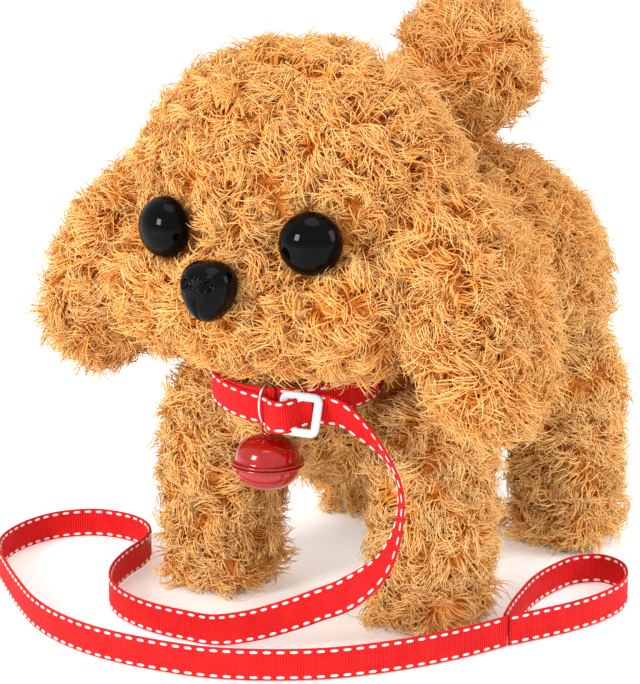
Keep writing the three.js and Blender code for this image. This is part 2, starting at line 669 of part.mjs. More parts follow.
addPiece('motor_can', steel, toGeometry(
  toSolid(barAlongX(MOTOR.radius, MOTOR.from, MOTOR.to, ...motorAxis, 28)).intersect(toSolid(block(
    [MOTOR.from - 1, MOTOR.to + 1], [motorAxis[0] - MOTOR.radius, motorAxis[0] + MOTOR.radius],
    [motorAxis[1] - MOTOR.flat, motorAxis[1] + MOTOR.flat],
  ))),
));

const PLATE_MARGIN = 6;
for (const [name, [from, to]] of Object.entries(plates)) {
  const outline = [
    [CRANK_AXIS[0] - PLATE_MARGIN, CRANK_AXIS[1] - PLATE_MARGIN],
    [motorAxis[0] + PLATE_MARGIN, CRANK_AXIS[1] - PLATE_MARGIN],
    [motorAxis[0] + PLATE_MARGIN, firstAxis[1] + PLATE_MARGIN],
    [secondAxis[0], firstAxis[1] + PLATE_MARGIN],
    [CRANK_AXIS[0] - PLATE_MARGIN, CRANK_AXIS[1] + PLATE_MARGIN],
  ];
  const holes = [
    [CRANK_AXIS, SHAFT_RADIUS], [secondAxis, JOURNAL_RADIUS],
    [firstAxis, JOURNAL_RADIUS], [motorAxis, JOURNAL_RADIUS],
  ].map(([[y, z], radius]) => ({ y, z, radius: radius + GAP }));
  addPiece(`gearbox_plate_${name}`, nylonBlack, plateAlongX(outline, from, to, holes));
}

const crankEnd = CRANK_DISC.from - GAP;
addPiece('crank_shaft', steel, barAlongX(SHAFT_RADIUS, -crankEnd, crankEnd, ...CRANK_AXIS, 16));
for (const side of SIDES) {
  const [low, high] = outward(side, CRANK_DISC.from, CRANK_DISC.from + CRANK_DISC.thickness);
  const disc = barAlongX(CRANK_DISC.radius, low, high, ...CRANK_AXIS, 24);
  const [stubLow, stubHigh] = outward(side, CRANK_DISC.from + 1, CRANK_DISC.from + CRANK_DISC.stubTip);
  const stubY = CRANK_AXIS[0] + side * CRANK_DISC.throw;
  const stub = barAlongX(CRANK_DISC.stubRadius, stubLow, stubHigh, stubY, CRANK_AXIS[1], 12);
  addPiece(`crank_disc_${sideName(side)}`, nylonWhite, join(disc, stub));
}

// ---------------------------------------------------------------- collar
function collarPoint(degrees, out = 0) {
  const angle = THREE.MathUtils.degToRad(degrees);
  const radius = COLLAR.radius + out;
  const flat = new THREE.Vector3(radius * Math.sin(angle), -radius * Math.cos(angle), 0);
  flat.applyAxisAngle(X_AXIS, THREE.MathUtils.degToRad(COLLAR.tilt));
  return flat.add(new THREE.Vector3(...COLLAR.centre));
}

const bandProfile = [
  [-RIBBON_THICKNESS / 2, -RIBBON_WIDTH / 2], [RIBBON_THICKNESS / 2, -RIBBON_WIDTH / 2],
  [RIBBON_THICKNESS / 2, RIBBON_WIDTH / 2], [-RIBBON_THICKNESS / 2, RIBBON_WIDTH / 2],
  [-RIBBON_THICKNESS / 2, -RIBBON_WIDTH / 2],
].map(([r, h]) => new THREE.Vector2(COLLAR.radius + r, h));
const band = addPiece('collar_band', ribbonRed, new THREE.LatheGeometry(bandProfile, 36).rotateX(Math.PI / 2));
band.position.set(...COLLAR.centre);
band.rotation.x = THREE.MathUtils.degToRad(COLLAR.tilt);

// The slider is a flat frame, tangent to the collar.
const SLIDER = {
  length: 13, height: 13.4, endBar: 2.3, sideBar: 1.6, thickness: 1.6, out: 4, droop: 2.2, roll: 9,
};
function sliderFrame() {
  const { length, height, endBar, sideBar, thickness } = SLIDER;
  const plate = (halfLength, halfHeight, thick) => block(
    [-halfLength, halfLength], [-thick / 2, thick / 2], [-halfHeight, halfHeight],
  );
  const opening = plate(length / 2 - endBar, height / 2 - sideBar, 2 * thickness);
  return cut(plate(length / 2, height / 2, thickness), opening);
}
const slider = addPiece('collar_slider', nylonWhite, sliderFrame());
slider.position.copy(collarPoint(SLIDER_ANGLE, SLIDER.out));
slider.position.z -= SLIDER.droop;
slider.rotation.set(
  0, THREE.MathUtils.degToRad(SLIDER.roll), THREE.MathUtils.degToRad(SLIDER_ANGLE), 'ZYX',
);

// ---------------------------------------------------------------- bell
class Oval extends THREE.Curve {
  constructor(halfWidth, halfHeight) {
    super();
    this.halfWidth = halfWidth;
    this.halfHeight = halfHeight;
  }

  getPoint(t, target = new THREE.Vector3()) {
    const angle = t * Math.PI * 2;
    return target.set(0, this.halfWidth * Math.sin(angle), this.halfHeight * Math.cos(angle));
  }
}

// A closed ring of wire, swept round an oval in the YZ plane.
function wireRing(halfWidth, halfHeight, wire, steps) {
  const across = 6;
  const path = new Oval(halfWidth, halfHeight);
  const positions = [];
  const index = [];
  for (let i = 0; i < steps; i += 1) {
    const centre = path.getPoint(i / steps);
    const out = new THREE.Vector3(0, centre.y / halfWidth ** 2, centre.z / halfHeight ** 2).normalize();
    for (let j = 0; j < across; j += 1) {
      const angle = (j * Math.PI * 2) / across;
      positions.push(
        wire * Math.sin(angle),
        centre.y + out.y * wire * Math.cos(angle),
        centre.z + out.z * wire * Math.cos(angle),
      );
      const [a, b] = [i * across + j, i * across + ((j + 1) % across)];
      const [c, d] = [a, b].map((corner) => (corner + across) % (steps * across));
      index.push(a, b, d, a, d, c);
    }
  }
  const ring = new THREE.BufferGeometry();
  ring.setAttribute('position', new THREE.Float32BufferAttribute(positions, 3));
  ring.setIndex(index);
  ring.computeVertexNormals();
  return ring;
}

const RING = { halfWidth: 2.4, halfHeight: 6.7, wire: 0.4 };
const ring = addPiece('bell_ring', nickel, wireRing(RING.halfWidth, RING.halfHeight, RING.wire, 20));
ring.position.copy(collarPoint(RING_ANGLE));
ring.position.z -= 0.6;
ring.rotation.z = THREE.MathUtils.degToRad(RING_ANGLE);

function bellShell() {
  const { radius, half, flange, wall } = BELL;
  const steps = 5;
  const outer = [];
  const inner = [];
  for (let i = 0; i <= steps; i += 1) {
    const angle = (i * Math.PI) / (2 * steps);
    outer.push([radius * Math.cos(angle), 0.9 + (half - 0.9) * Math.sin(angle)]);
    inner.push([(radius - wall) * Math.cos(angle), 0.9 + (half - 0.9 - wall) * Math.sin(angle)]);
  }
  outer[steps][0] = 0;
  inner[steps][0] = 0;
  const rim = [[radius - wall, 0.2], [flange, 0.2], [flange, 0.9]];
  return new THREE.LatheGeometry(
    [...inner.reverse(), ...rim, ...outer].map(([r, h]) => new THREE.Vector2(r, h)), 20,
  ).rotateX(Math.PI / 2);
}

const slot = block([-BELL.radius - 1, BELL.radius + 1], [-0.9, 0.9], [-BELL.half - 1, -BELL.half + 4]);
const slotEnds = SIDES.map((side) => new THREE.CylinderGeometry(1.6, 1.6, 6, 10)
  .rotateX(Math.PI / 2)
  .translate(side * 5.6, 0, -BELL.half + 1));
const bell = new THREE.Group();
bell.position.set(BELL.x, BELL.y, BELL.z);
puppy.add(bell);
addPiece('bell_top', bellRed, bellShell(), bell);
addPiece('bell_bottom', bellRed, cut(bellShell().rotateX(Math.PI), slot, ...slotEnds), bell);
addPiece('bell_pellet', steel, new THREE.SphereGeometry(2.2, 14, 10).translate(0, 0, -4.6), bell);
const LOOP = { halfWidth: 1.8, halfHeight: 1.75, wire: 0.45 };
addPiece('bell_loop', bellRed, wireRing(LOOP.halfWidth, LOOP.halfHeight, LOOP.wire, 14)
  .rotateZ(Math.PI / 2)
  .translate(0, 0, BELL.half + LOOP.halfHeight + LOOP.wire + GAP), bell);

// ---------------------------------------------------------------- leash
// The ribbon's centreline, and the way its upper edge at the collar points on its way down. It drops
// from the collar in one arc, turning over as it goes, and then stands on its edge on the floor.
const ON_EDGE = [0, 0, -1];
const DROP_ROUTE = [
  [[11.5, -80, 75.4], [0, 0, 1]],
  [[14.5, -78.2, 75.1], [0, 0, 1]],
  [[20.6, -74.4, 75.4], [0.05, -0.1, 1]],
  [[26.4, -73, 74.3], [0.2, -0.3, 0.9]],
  [[31.5, -73, 71.7], [0.4, -0.4, 0.8]],
  [[37.2, -73.5, 68.2], [0.6, -0.6, 0.5]],
  [[45.1, -75, 61.1], [0.6, -0.8, 0.2]],
  [[49.1, -77, 54.3], [0.6, -0.8, 0.1]],
  [[50.1, -79, 47.7], [0.6, -0.8, 0]],
  [[49.6, -81.5, 40.4], [0.6, -0.75, -0.2]],
  [[46.1, -84.5, 32], [0.6, -0.6, -0.5]],
  [[36.5, -87.5, 23.4], [0.3, -0.2, -0.9]],
  [[28, -88.9, 19], [0.1, 0, -1]],
  [[16, -90.4, 13.2], ON_EDGE],
  [[4.5, -91.8, 8.6], ON_EDGE],
];
const FLOOR_ROUTE = [
  [-8, -92.6], [-19, -93.6], [-31, -93], [-42.5, -89.5], [-51, -84.5], [-58, -77.5], [-64, -67],
  [-68, -54], [-70, -42], [-73.5, -32.5], [-81, -25], [-91, -21.5], [-103, -23], [-112.5, -32],
  [-116, -46], [-113.5, -62], [-106, -74], [-96, -83.5], [-80, -97], [-66, -107.5], [-51, -115],
  [-33, -119.5], [-12, -119.5], [9, -115.5], [35, -100.5], [53, -80], [64, -61], [70, -47],
];
const LOOP_ROUTE = [
  [70.4, -46.2], [76, -36], [81.5, -25], [85.8, -12], [87, 0], [84.5, 11], [78, 20], [70, 22.5],
  [63.5, 17], [60.8, 5], [60.6, -8], [62.8, -22], [65.6, -35], [68.6, -45.6],
];

// A smooth path that also says which way the ribbon's edge points.
class RibbonPath extends THREE.CatmullRomCurve3 {
  constructor(points, edges) {
    super(points, false, 'centripetal');
    this.edges = new THREE.CatmullRomCurve3(edges, false, 'catmullrom');
  }

  computeFrenetFrames(segments) {
    const frames = { tangents: [], normals: [], binormals: [] };
    for (let i = 0; i <= segments; i += 1) {
      const tangent = this.getTangentAt(i / segments);
      const edge = this.edges.getPoint(this.getUtoTmapping(i / segments));
      edge.addScaledVector(tangent, -edge.dot(tangent)).normalize();
      frames.tangents.push(tangent);
      frames.binormals.push(edge);
      frames.normals.push(new THREE.Vector3().crossVectors(edge, tangent));
    }
    return frames;
  }
}

function ribbonSection() {
  const [halfThick, halfWide, corner] = [RIBBON_THICKNESS / 2, RIBBON_WIDTH / 2, 0.2];
  const [thickIn, wideIn] = [halfThick - corner, halfWide - corner];
  return new THREE.Shape([
    [halfThick, -wideIn], [halfThick, wideIn], [thickIn, halfWide], [-thickIn, halfWide],
    [-halfThick, wideIn], [-halfThick, -wideIn], [-thickIn, -halfWide], [thickIn, -halfWide],
  ].map(([x, y]) => new THREE.Vector2(x, y)));
}

function ribbon(points, edges, steps) {
  const path = new RibbonPath(
    points.map((point) => new THREE.Vector3(...point)), edges.map((edge) => new THREE.Vector3(...edge)),
  );
  return new THREE.ExtrudeGeometry(ribbonSection(), { steps, extrudePath: path });
}

const RIBBON_ON_FLOOR = RIBBON_WIDTH / 2 + 0.3;
const standing = (route) => route.map(([x, y]) => [x, y, RIBBON_ON_FLOOR]);
addPiece('leash_ribbon', ribbonRed, ribbon(
  [...DROP_ROUTE.map(([point]) => point), ...standing(FLOOR_ROUTE)],
  [...DROP_ROUTE.map(([, edge]) => edge), ...FLOOR_ROUTE.map(() => ON_EDGE)], 64,
));
addPiece('leash_hand_loop', ribbonRed, ribbon(
  standing(LOOP_ROUTE), LOOP_ROUTE.map(() => ON_EDGE), 16,
));

export default puppy;
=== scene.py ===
"""The walking plush puppy's looks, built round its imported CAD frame.

Objects are in metres. Shapes and routes are given in millimetres, and MM turns them into metres.
"""

import json
import math

import bmesh
import bpy
import numpy as np
from mathutils import Matrix, Vector
from mathutils.kdtree import KDTree


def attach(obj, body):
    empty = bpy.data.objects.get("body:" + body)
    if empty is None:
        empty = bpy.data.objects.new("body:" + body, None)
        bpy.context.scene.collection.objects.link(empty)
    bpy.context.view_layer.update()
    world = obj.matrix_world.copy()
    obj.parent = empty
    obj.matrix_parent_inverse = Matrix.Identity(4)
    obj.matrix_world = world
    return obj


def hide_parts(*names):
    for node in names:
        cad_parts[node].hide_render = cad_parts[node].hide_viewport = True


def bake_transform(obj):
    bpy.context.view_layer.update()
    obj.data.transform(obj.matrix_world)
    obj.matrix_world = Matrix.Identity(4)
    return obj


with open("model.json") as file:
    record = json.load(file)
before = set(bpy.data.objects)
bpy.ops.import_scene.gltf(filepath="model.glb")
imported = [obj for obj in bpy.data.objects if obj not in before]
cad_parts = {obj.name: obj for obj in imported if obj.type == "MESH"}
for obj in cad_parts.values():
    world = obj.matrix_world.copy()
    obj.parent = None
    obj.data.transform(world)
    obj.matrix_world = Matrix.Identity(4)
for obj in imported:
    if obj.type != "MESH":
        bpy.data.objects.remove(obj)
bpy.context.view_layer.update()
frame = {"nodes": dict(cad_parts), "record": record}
NODES = frame["nodes"]
MM = 0.001
SIDES = {"left": 1, "right": -1}

# ---------- shapes, in millimetres
# Each is (centre, radii); a shape's outside is where its pile ends.
HEAD = ((0, -53, 138), (56, 42, 47))
MUZZLE = ((0, -78, 108), (36, 25, 25))
CHEEK = ((30, -70, 109), (27, 28, 24))  # the left one
CHEST = ((0, -15, 84), (44, 42, 46))
BELLY = ((0, 23, 86), (48, 60, 48))
RUMP = ((0, 59, 86), (50, 54, 52))
NECK = ((0, -50, 80), (26, 25, 34))
TAIL = ((0, 57, 165), (26, 26, 26))
TAIL_STALK = ((0, 57, 134), (13, 13, 20))
EARS = {
    "left": {"at": ((62, -57, 107), (19, 32, 42.5)), "splay": 20, "root": (44, -57, 142)},
    "right": {"at": ((-63, -57, 110), (19, 32, 41)), "splay": 26, "root": (-44, -57, 142)},
}
LEG_X = 39.5
LEG_Y = {"front": -39, "hind": 59}
LEG = {"half_width": 22, "half_length": 23, "height": 76, "squareness": 2.7}
FOOT = {"half_width": 12.5, "half_length": 13.8, "low": 5.2, "high": 14}
SOLE_Z = 4.0
EYE = {"at": (25, -88.3, 129.5), "radius": 9.5, "dome": 8.4, "aim": 19, "forward": 0.8}
NOSE = {"at": (0, -104.8, 115.5), "size": (9.4, 8.0, 9.2)}
COLLAR = {"centre": (0, -55, 79.5), "radius": 26, "tilt": 6}
SLIDER_ANGLE = 32
SLIDER_OUT = 4
SLIDER_DROOP = 2.2
SLIDER = {
    "half_length": 6.5, "half_height": 6.7, "corner": 1.4, "half_bar": 1.3, "half_thick": 0.8,
    "roll": 8, "pitch": -12,
}
RING_ANGLE = 10.4
RING_DROP = 0.6
RING = {"half_width": 3.4, "half_height": 6.7, "wire": 0.4, "turn": -30}
BELL = {"at": (4.7, -81, 58.3), "radius": 10.2, "half": 8.4, "flange": 11.3, "wall": 0.7}
BELL_LOOP = {"half_width": 1.8, "half_height": 1.75, "wire": 0.45, "gap": 0.3, "sunk": 0.6}
HATCH = {"half_width": 17.5, "front": -25, "back": 56, "top": 50}
CASING_BLOCKS = [((-26, -50, 56), (26, -22, 74)), ((-26, -41, 47.5), (26, 82, 114))]

RIBBON_WIDTH = 10
RIBBON_THICKNESS = 0.8
RIBBON_ON_FLOOR = 5.3  # the height of its middle line where it stands on edge
STITCH = {
    "long": 2.5, "gap": 1.5, "inset": 1.05, "first": 0.8, "half_wide": 0.42, "half_high": 0.26, "proud": 0.05,
}
ON_EDGE = (0, 0, -1)
DROP_ROUTE = [
    ((11.5, -80, 75.4), (0, 0, 1)),
    ((14.5, -78.2, 75.1), (0, 0, 1)),
    ((20.6, -74.4, 75.4), (0.05, -0.1, 1)),
    ((26.4, -73, 74.3), (0.2, -0.3, 0.9)),
    ((31.5, -73, 71.7), (0.4, -0.4, 0.8)),
    ((37.2, -73.5, 68.2), (0.6, -0.6, 0.5)),
    ((45.1, -75, 61.1), (0.6, -0.8, 0.2)),
    ((49.1, -77, 54.3), (0.6, -0.8, 0.1)),
    ((50.1, -79, 47.7), (0.6, -0.8, 0)),
    ((49.6, -81.5, 40.4), (0.6, -0.75, -0.2)),
    ((46.1, -84.5, 32), (0.6, -0.6, -0.5)),
    ((36.5, -87.5, 23.4), (0.3, -0.2, -0.9)),
    ((28, -88.9, 19), (0.1, 0, -1)),
    ((16, -90.4, 13.2), ON_EDGE),
    ((4.5, -91.8, 8.6), ON_EDGE),
]
FLOOR_ROUTE = [
    (-8, -92.6), (-19, -93.6), (-31, -93), (-42.5, -89.5), (-51, -84.5), (-58, -77.5), (-64, -67),
    (-68, -54), (-70, -42), (-73.5, -32.5), (-81, -25), (-91, -21.5), (-103, -23), (-112.5, -32),
    (-116, -46), (-113.5, -62), (-106, -74), (-96, -83.5), (-80, -97), (-66, -107.5), (-51, -115),
    (-33, -119.5), (-12, -119.5), (9, -115.5), (35, -100.5), (53, -80), (64, -61), (70, -47),
]
LOOP_ROUTE = [
    (70.4, -46.2), (76, -36), (81.5, -25), (85.8, -12), (87, 0), (84.5, 11), (78, 20), (70, 22.5),
    (63.5, 17), (60.8, 5), (60.6, -8), (62.8, -22), (65.6, -35), (68.6, -45.6),
]

# ---------- camera
CAMERA_FROM = (385, -683, 267)
CAMERA_TO = (-15.4, -16.3, 80)
LENS = 136.7


def holder(name, data):
    """A new object in the scene for a mesh, a lamp or a camera."""
    made = bpy.data.objects.new(name, data)
    bpy.context.scene.collection.objects.link(made)
    return made


def make_camera():
    data = bpy.data.cameras.new("camera")
    data.sensor_fit = "HORIZONTAL"
    data.sensor_width = 36
    data.lens = LENS
    camera = holder("camera", data)
    camera.location = Vector(CAMERA_FROM) * MM
    look = Vector(CAMERA_TO) - Vector(CAMERA_FROM)
    camera.rotation_euler = look.to_track_quat("-Z", "Y").to_euler()
    bpy.context.scene.camera = camera


make_camera()


# ---------- materials
def linear(colour):
    """A colour given as screen values from 0 to 255."""
    shares = [c / 255 for c in colour]
    return [c / 12.92 if c <= 0.04045 else ((c + 0.055) / 1.055) ** 2.4 for c in shares] + [1]


class Surface:
    """A Principled material and the nodes that feed it."""

    def __init__(self, name, colour, roughness, **sockets):
        self.material = bpy.data.materials.new(name)
        self.material.use_nodes = True
        self.tree = self.material.node_tree
        self.shader = self.tree.nodes["Principled BSDF"]
        self.put("Base Color", linear(colour))
        self.put("Roughness", roughness)
        for socket, value in sockets.items():
            self.put(socket.replace("_", " "), value)

    def put(self, socket, value):
        self.shader.inputs[socket].default_value = value

    def node(self, kind, inputs=None, **settings):
        made = self.tree.nodes.new(kind)
        for key, value in settings.items():
            setattr(made, key, value)
        for socket, value in (inputs or {}).items():
            if isinstance(value, bpy.types.NodeSocket):
                self.tree.links.new(value, made.inputs[socket])
            else:
                made.inputs[socket].default_value = value
        return made

    def link(self, output, socket):
        self.tree.links.new(output, self.shader.inputs[socket])

    def place(self):
        return self.node("ShaderNodeTexCoord").outputs["Object"]

    def noise(self, scale, detail=4, vector=None):
        inputs = {"Vector": vector or self.place(), "Scale": scale, "Detail": detail}
        return self.node("ShaderNodeTexNoise", inputs).outputs["Fac"]

    def ramp(self, value, stops):
        made = self.node("ShaderNodeValToRGB", {"Fac": value})
        points = made.color_ramp.elements
        while len(points) < len(stops):
            points.new(0.5)
        for point, (position, colour) in zip(points, stops):
            point.position = position
            point.color = linear(colour)
        return made.outputs["Color"]

    def grey(self, value, low, high):
        inputs = {"Value": value, "To Min": low, "To Max": high}
        return self.node("ShaderNodeMapRange", inputs).outputs["Result"]

    def math(self, operation, first, second):
        return self.node("ShaderNodeMath", {0: first, 1: second}, operation=operation).outputs[0]

    def bump(self, height, distance, strength=1.0):
        made = self.node("ShaderNodeBump", {"Height": height, "Distance": distance, "Strength": strength})
        self.link(made.outputs["Normal"], "Normal")


def moulded(name, colour, low, high, grain, bump_mm, **sockets):
    """Plastic or metal with a slightly uneven colour and gloss, and a fine surface."""
    surface = Surface(name, colour, (low + high) / 2, **sockets)
    patches = surface.noise(90)
    dark = [c * 0.86 for c in colour]
    surface.link(surface.ramp(patches, [(0.3, dark), (0.65, colour)]), "Base Color")
    fine = surface.noise(grain, 6)
    surface.link(surface.grey(fine, low, high), "Roughness")
    surface.bump(fine, bump_mm * MM)
    return surface.material


def ribbon_material():
    surface = Surface("grosgrain", (236, 20, 24), 0.75, Specular_IOR_Level=0.2)
    along = surface.node("ShaderNodeUVMap", uv_map="Ribbon").outputs["UV"]
    ribs = surface.node(
        "ShaderNodeTexWave", {"Vector": along, "Scale": 0.37, "Distortion": 0.15, "Detail": 1.0},
        bands_direction="X",
    ).outputs["Fac"]
    threads = surface.noise(900, 3, along)
    worn = surface.noise(160)
    tone = surface.math("ADD", surface.math("MULTIPLY", ribs, 0.5), surface.math("MULTIPLY", worn, 0.5))
    reds = surface.ramp(tone, [(0.15, (176, 6, 10)), (0.5, (218, 16, 20)), (0.85, (236, 36, 34))])
    surface.link(reds, "Base Color")
    height = surface.math("ADD", ribs, surface.math("MULTIPLY", threads, 0.3))
    surface.bump(height, 0.16 * MM)
    return surface.material


def pile_material():
    """Pile fibres: the map's first coordinate is the strand's tone (raised as painted fill light on the lower
    torso and the legs), its second runs from root to tip, and the roots' darker, deeper orange is partly
    painted shade deep in the pile and partly the fibres' own colour, which pales to the tips.
    """
    surface = Surface("pile", (224, 150, 70), 0.6, Sheen_Weight=0.04, Specular_IOR_Level=0.22)
    split = surface.node(
        "ShaderNodeSeparateXYZ", {"Vector": surface.node("ShaderNodeUVMap", uv_map="OFBake").outputs["UV"]},
    )
    shade, height = split.outputs["X"], split.outputs["Y"]
    # Both ramps go darker and deeper orange towards the root: partly painted shade deep in the pile, partly
    # the fibres' own colour, which pales to the tips.
    warm = surface.ramp(height, [(0.0, (244, 142, 34)), (0.35, (244, 158, 56)), (1.0, (246, 190, 110))])
    pale = surface.ramp(height, [(0.0, (252, 158, 48)), (0.35, (252, 186, 90)), (1.0, (254, 220, 156))])
    mixed = surface.node("ShaderNodeMix", {"Factor": shade, "A": warm, "B": pale}, data_type="RGBA")
    surface.link(mixed.outputs["Result"], "Base Color")
    return surface.material


def backing_material():
    surface = Surface("pile_backing", (170, 98, 38), 0.9, Sheen_Weight=0.3)
    knots = surface.noise(420, 5)
    surface.link(surface.ramp(knots, [(0.35, (234, 146, 46)), (0.65, (246, 170, 70))]), "Base Color")
    surface.bump(knots, 0.6 * MM)
    return surface.material


def gloss_black():
    surface = Surface("black_gloss", (2, 2, 2), 0.05, Specular_IOR_Level=0.09)
    smears = surface.noise(140, 4)
    surface.link(surface.grey(smears, 0.03, 0.09), "Roughness")
    surface.link(surface.ramp(smears, [(0.3, (2, 2, 3)), (0.7, (6, 6, 7))]), "Base Color")
    surface.bump(surface.noise(60, 2), 0.02 * MM, 0.4)
    return surface.material


def bell_lacquer():
    surface = Surface(
        "bell_lacquer", (186, 16, 10), 0.12, Coat_Weight=0.5, Coat_Roughness=0.04, Metallic=0.25,
    )
    flow = surface.noise(220, 4)
    surface.link(surface.ramp(flow, [(0.3, (146, 8, 4)), (0.7, (180, 16, 8))]), "Base Color")
    surface.link(surface.grey(flow, 0.08, 0.2), "Roughness")
    surface.bump(surface.noise(110, 3), 0.05 * MM, 0.5)
    return surface.material


MATERIALS = {
    "fur": backing_material(),
    "ribbon": ribbon_material(),
    "black_gloss": gloss_black(),
    "bell_red": bell_lacquer(),
    "casing": moulded("casing_plastic", (206, 202, 192), 0.4, 0.55, 700, 0.03),
    "nylon_white": moulded("white_nylon", (240, 238, 234), 0.25, 0.4, 500, 0.02, Subsurface_Weight=0.3),
    "plastic_black": moulded("black_plastic", (34, 34, 36), 0.35, 0.5, 900, 0.02),
    "steel": moulded("ground_steel", (186, 188, 192), 0.22, 0.4, 1500, 0.01, Metallic=1.0),
    "nickel": moulded("nickel_plate", (214, 214, 210), 0.1, 0.22, 800, 0.01, Metallic=1.0),
    "board": moulded("solder_mask", (20, 92, 46), 0.2, 0.3, 1200, 0.02),
    "cell": moulded("printed_sleeve", (30, 66, 128), 0.2, 0.32, 300, 0.01),
}
PILE = pile_material()
STITCH_THREAD = moulded("stitch_thread", (246, 242, 238), 0.6, 0.8, 2500, 0.08)


# ---------- making pieces
def piece(name, mesh, slot, material=None):
    made = holder(name, mesh)
    mesh.materials.clear()
    mesh.materials.append(material or MATERIALS[slot])
    return made


def smooth(mesh):
    mesh.polygons.foreach_set("use_smooth", np.ones(len(mesh.polygons), bool))
    mesh.update()


def grid_mesh(name, points, close_rows=False, close_columns=False):
    """A mesh of quads over an array of points, rows by columns, in metres."""
    rows, columns = points.shape[:2]
    i = np.arange(rows if close_rows else rows - 1)[:, None]
    j = np.arange(columns if close_columns else columns - 1)[None, :]
    down, right = (i + 1) % rows, (j + 1) % columns
    faces = np.stack(
        [i * columns + j, i * columns + right, down * columns + right, down * columns + j], axis=-1,
    ).reshape(-1, 4)
    mesh = bpy.data.meshes.new(name)
    mesh.from_pydata(points.reshape(-1, 3).tolist(), [], faces.tolist())
    smooth(mesh)
    return mesh


def mesh_of(name, bm):
    mesh = bpy.data.meshes.new(name)
    bm.to_mesh(mesh)
    bm.free()
    return mesh


def weld(mesh, distance=1e-6):
    bm = bmesh.new()
    bm.from_mesh(mesh)
    bmesh.ops.remove_doubles(bm, verts=bm.verts, dist=distance)
    bmesh.ops.recalc_face_normals(bm, faces=bm.faces)
    bm.to_mesh(mesh)
    bm.free()
    smooth(mesh)
    return mesh


def lathe(name, profile, segments=72):
    """A closed body turned round Z from (radius, height) in millimetres."""
    angles = np.linspace(0, 2 * math.pi, segments, endpoint=False)
    r, z = np.array(profile, float).T * MM
    points = np.stack(
        [np.outer(np.cos(angles), r), np.outer(np.sin(angles), r), np.tile(z, (segments, 1))], axis=-1,
    )
    return weld(grid_mesh(name, points, close_rows=True))


def settle(name, source):
    """The mesh of an object with its modifiers applied; the object goes."""
    bpy.context.view_layer.update()
    graph = bpy.context.evaluated_depsgraph_get()
    mesh = bpy.data.meshes.new_from_object(source.evaluated_get(graph))
    mesh.name = name
    bpy.data.objects.remove(source)
    return mesh


# ---------- ribbons
def catmull_rom(points, per_span):
    """A centripetal Catmull-Rom line through the points."""
    p = np.array(points, float)
    p = np.vstack([2 * p[0] - p[1], p, 2 * p[-1] - p[-2]])
    line = []
    for a, b, c, d in zip(p, p[1:], p[2:], p[3:]):
        steps = [max(1e-9, np.linalg.norm(v[:3] - u[:3])) ** 0.5 for u, v in ((a, b), (b, c), (c, d))]
        knots = np.cumsum([0] + steps)
        for t in np.linspace(knots[1], knots[2], per_span, endpoint=False):

            def mix(u, v, i, j):
                return (u * (knots[j] - t) + v * (t - knots[i])) / (knots[j] - knots[i])

            ab, bc, cd = mix(a, b, 0, 1), mix(b, c, 1, 2), mix(c, d, 2, 3)
            line.append(mix(mix(ab, bc, 0, 2), mix(bc, cd, 1, 3), 1, 2))
    line.append(p[-2])
    return np.array(line)


def run_along(points):
    """How far along a line each of its points lies."""
    return np.concatenate([[0], np.cumsum(np.linalg.norm(np.diff(points, axis=0), axis=1))])


def even(line, step, closed=False):
    """The line's rows at equal steps along its first three columns."""
    if closed:
        line = np.vstack([line, line[:1]])
    run = run_along(line[:, :3])
    count = max(2, round(run[-1] / step))
    marks = np.linspace(0, run[-1], count + 1)
    found = np.stack([np.interp(marks, run, line[:, k]) for k in range(line.shape[1])], axis=1)
    return found[:-1] if closed else found


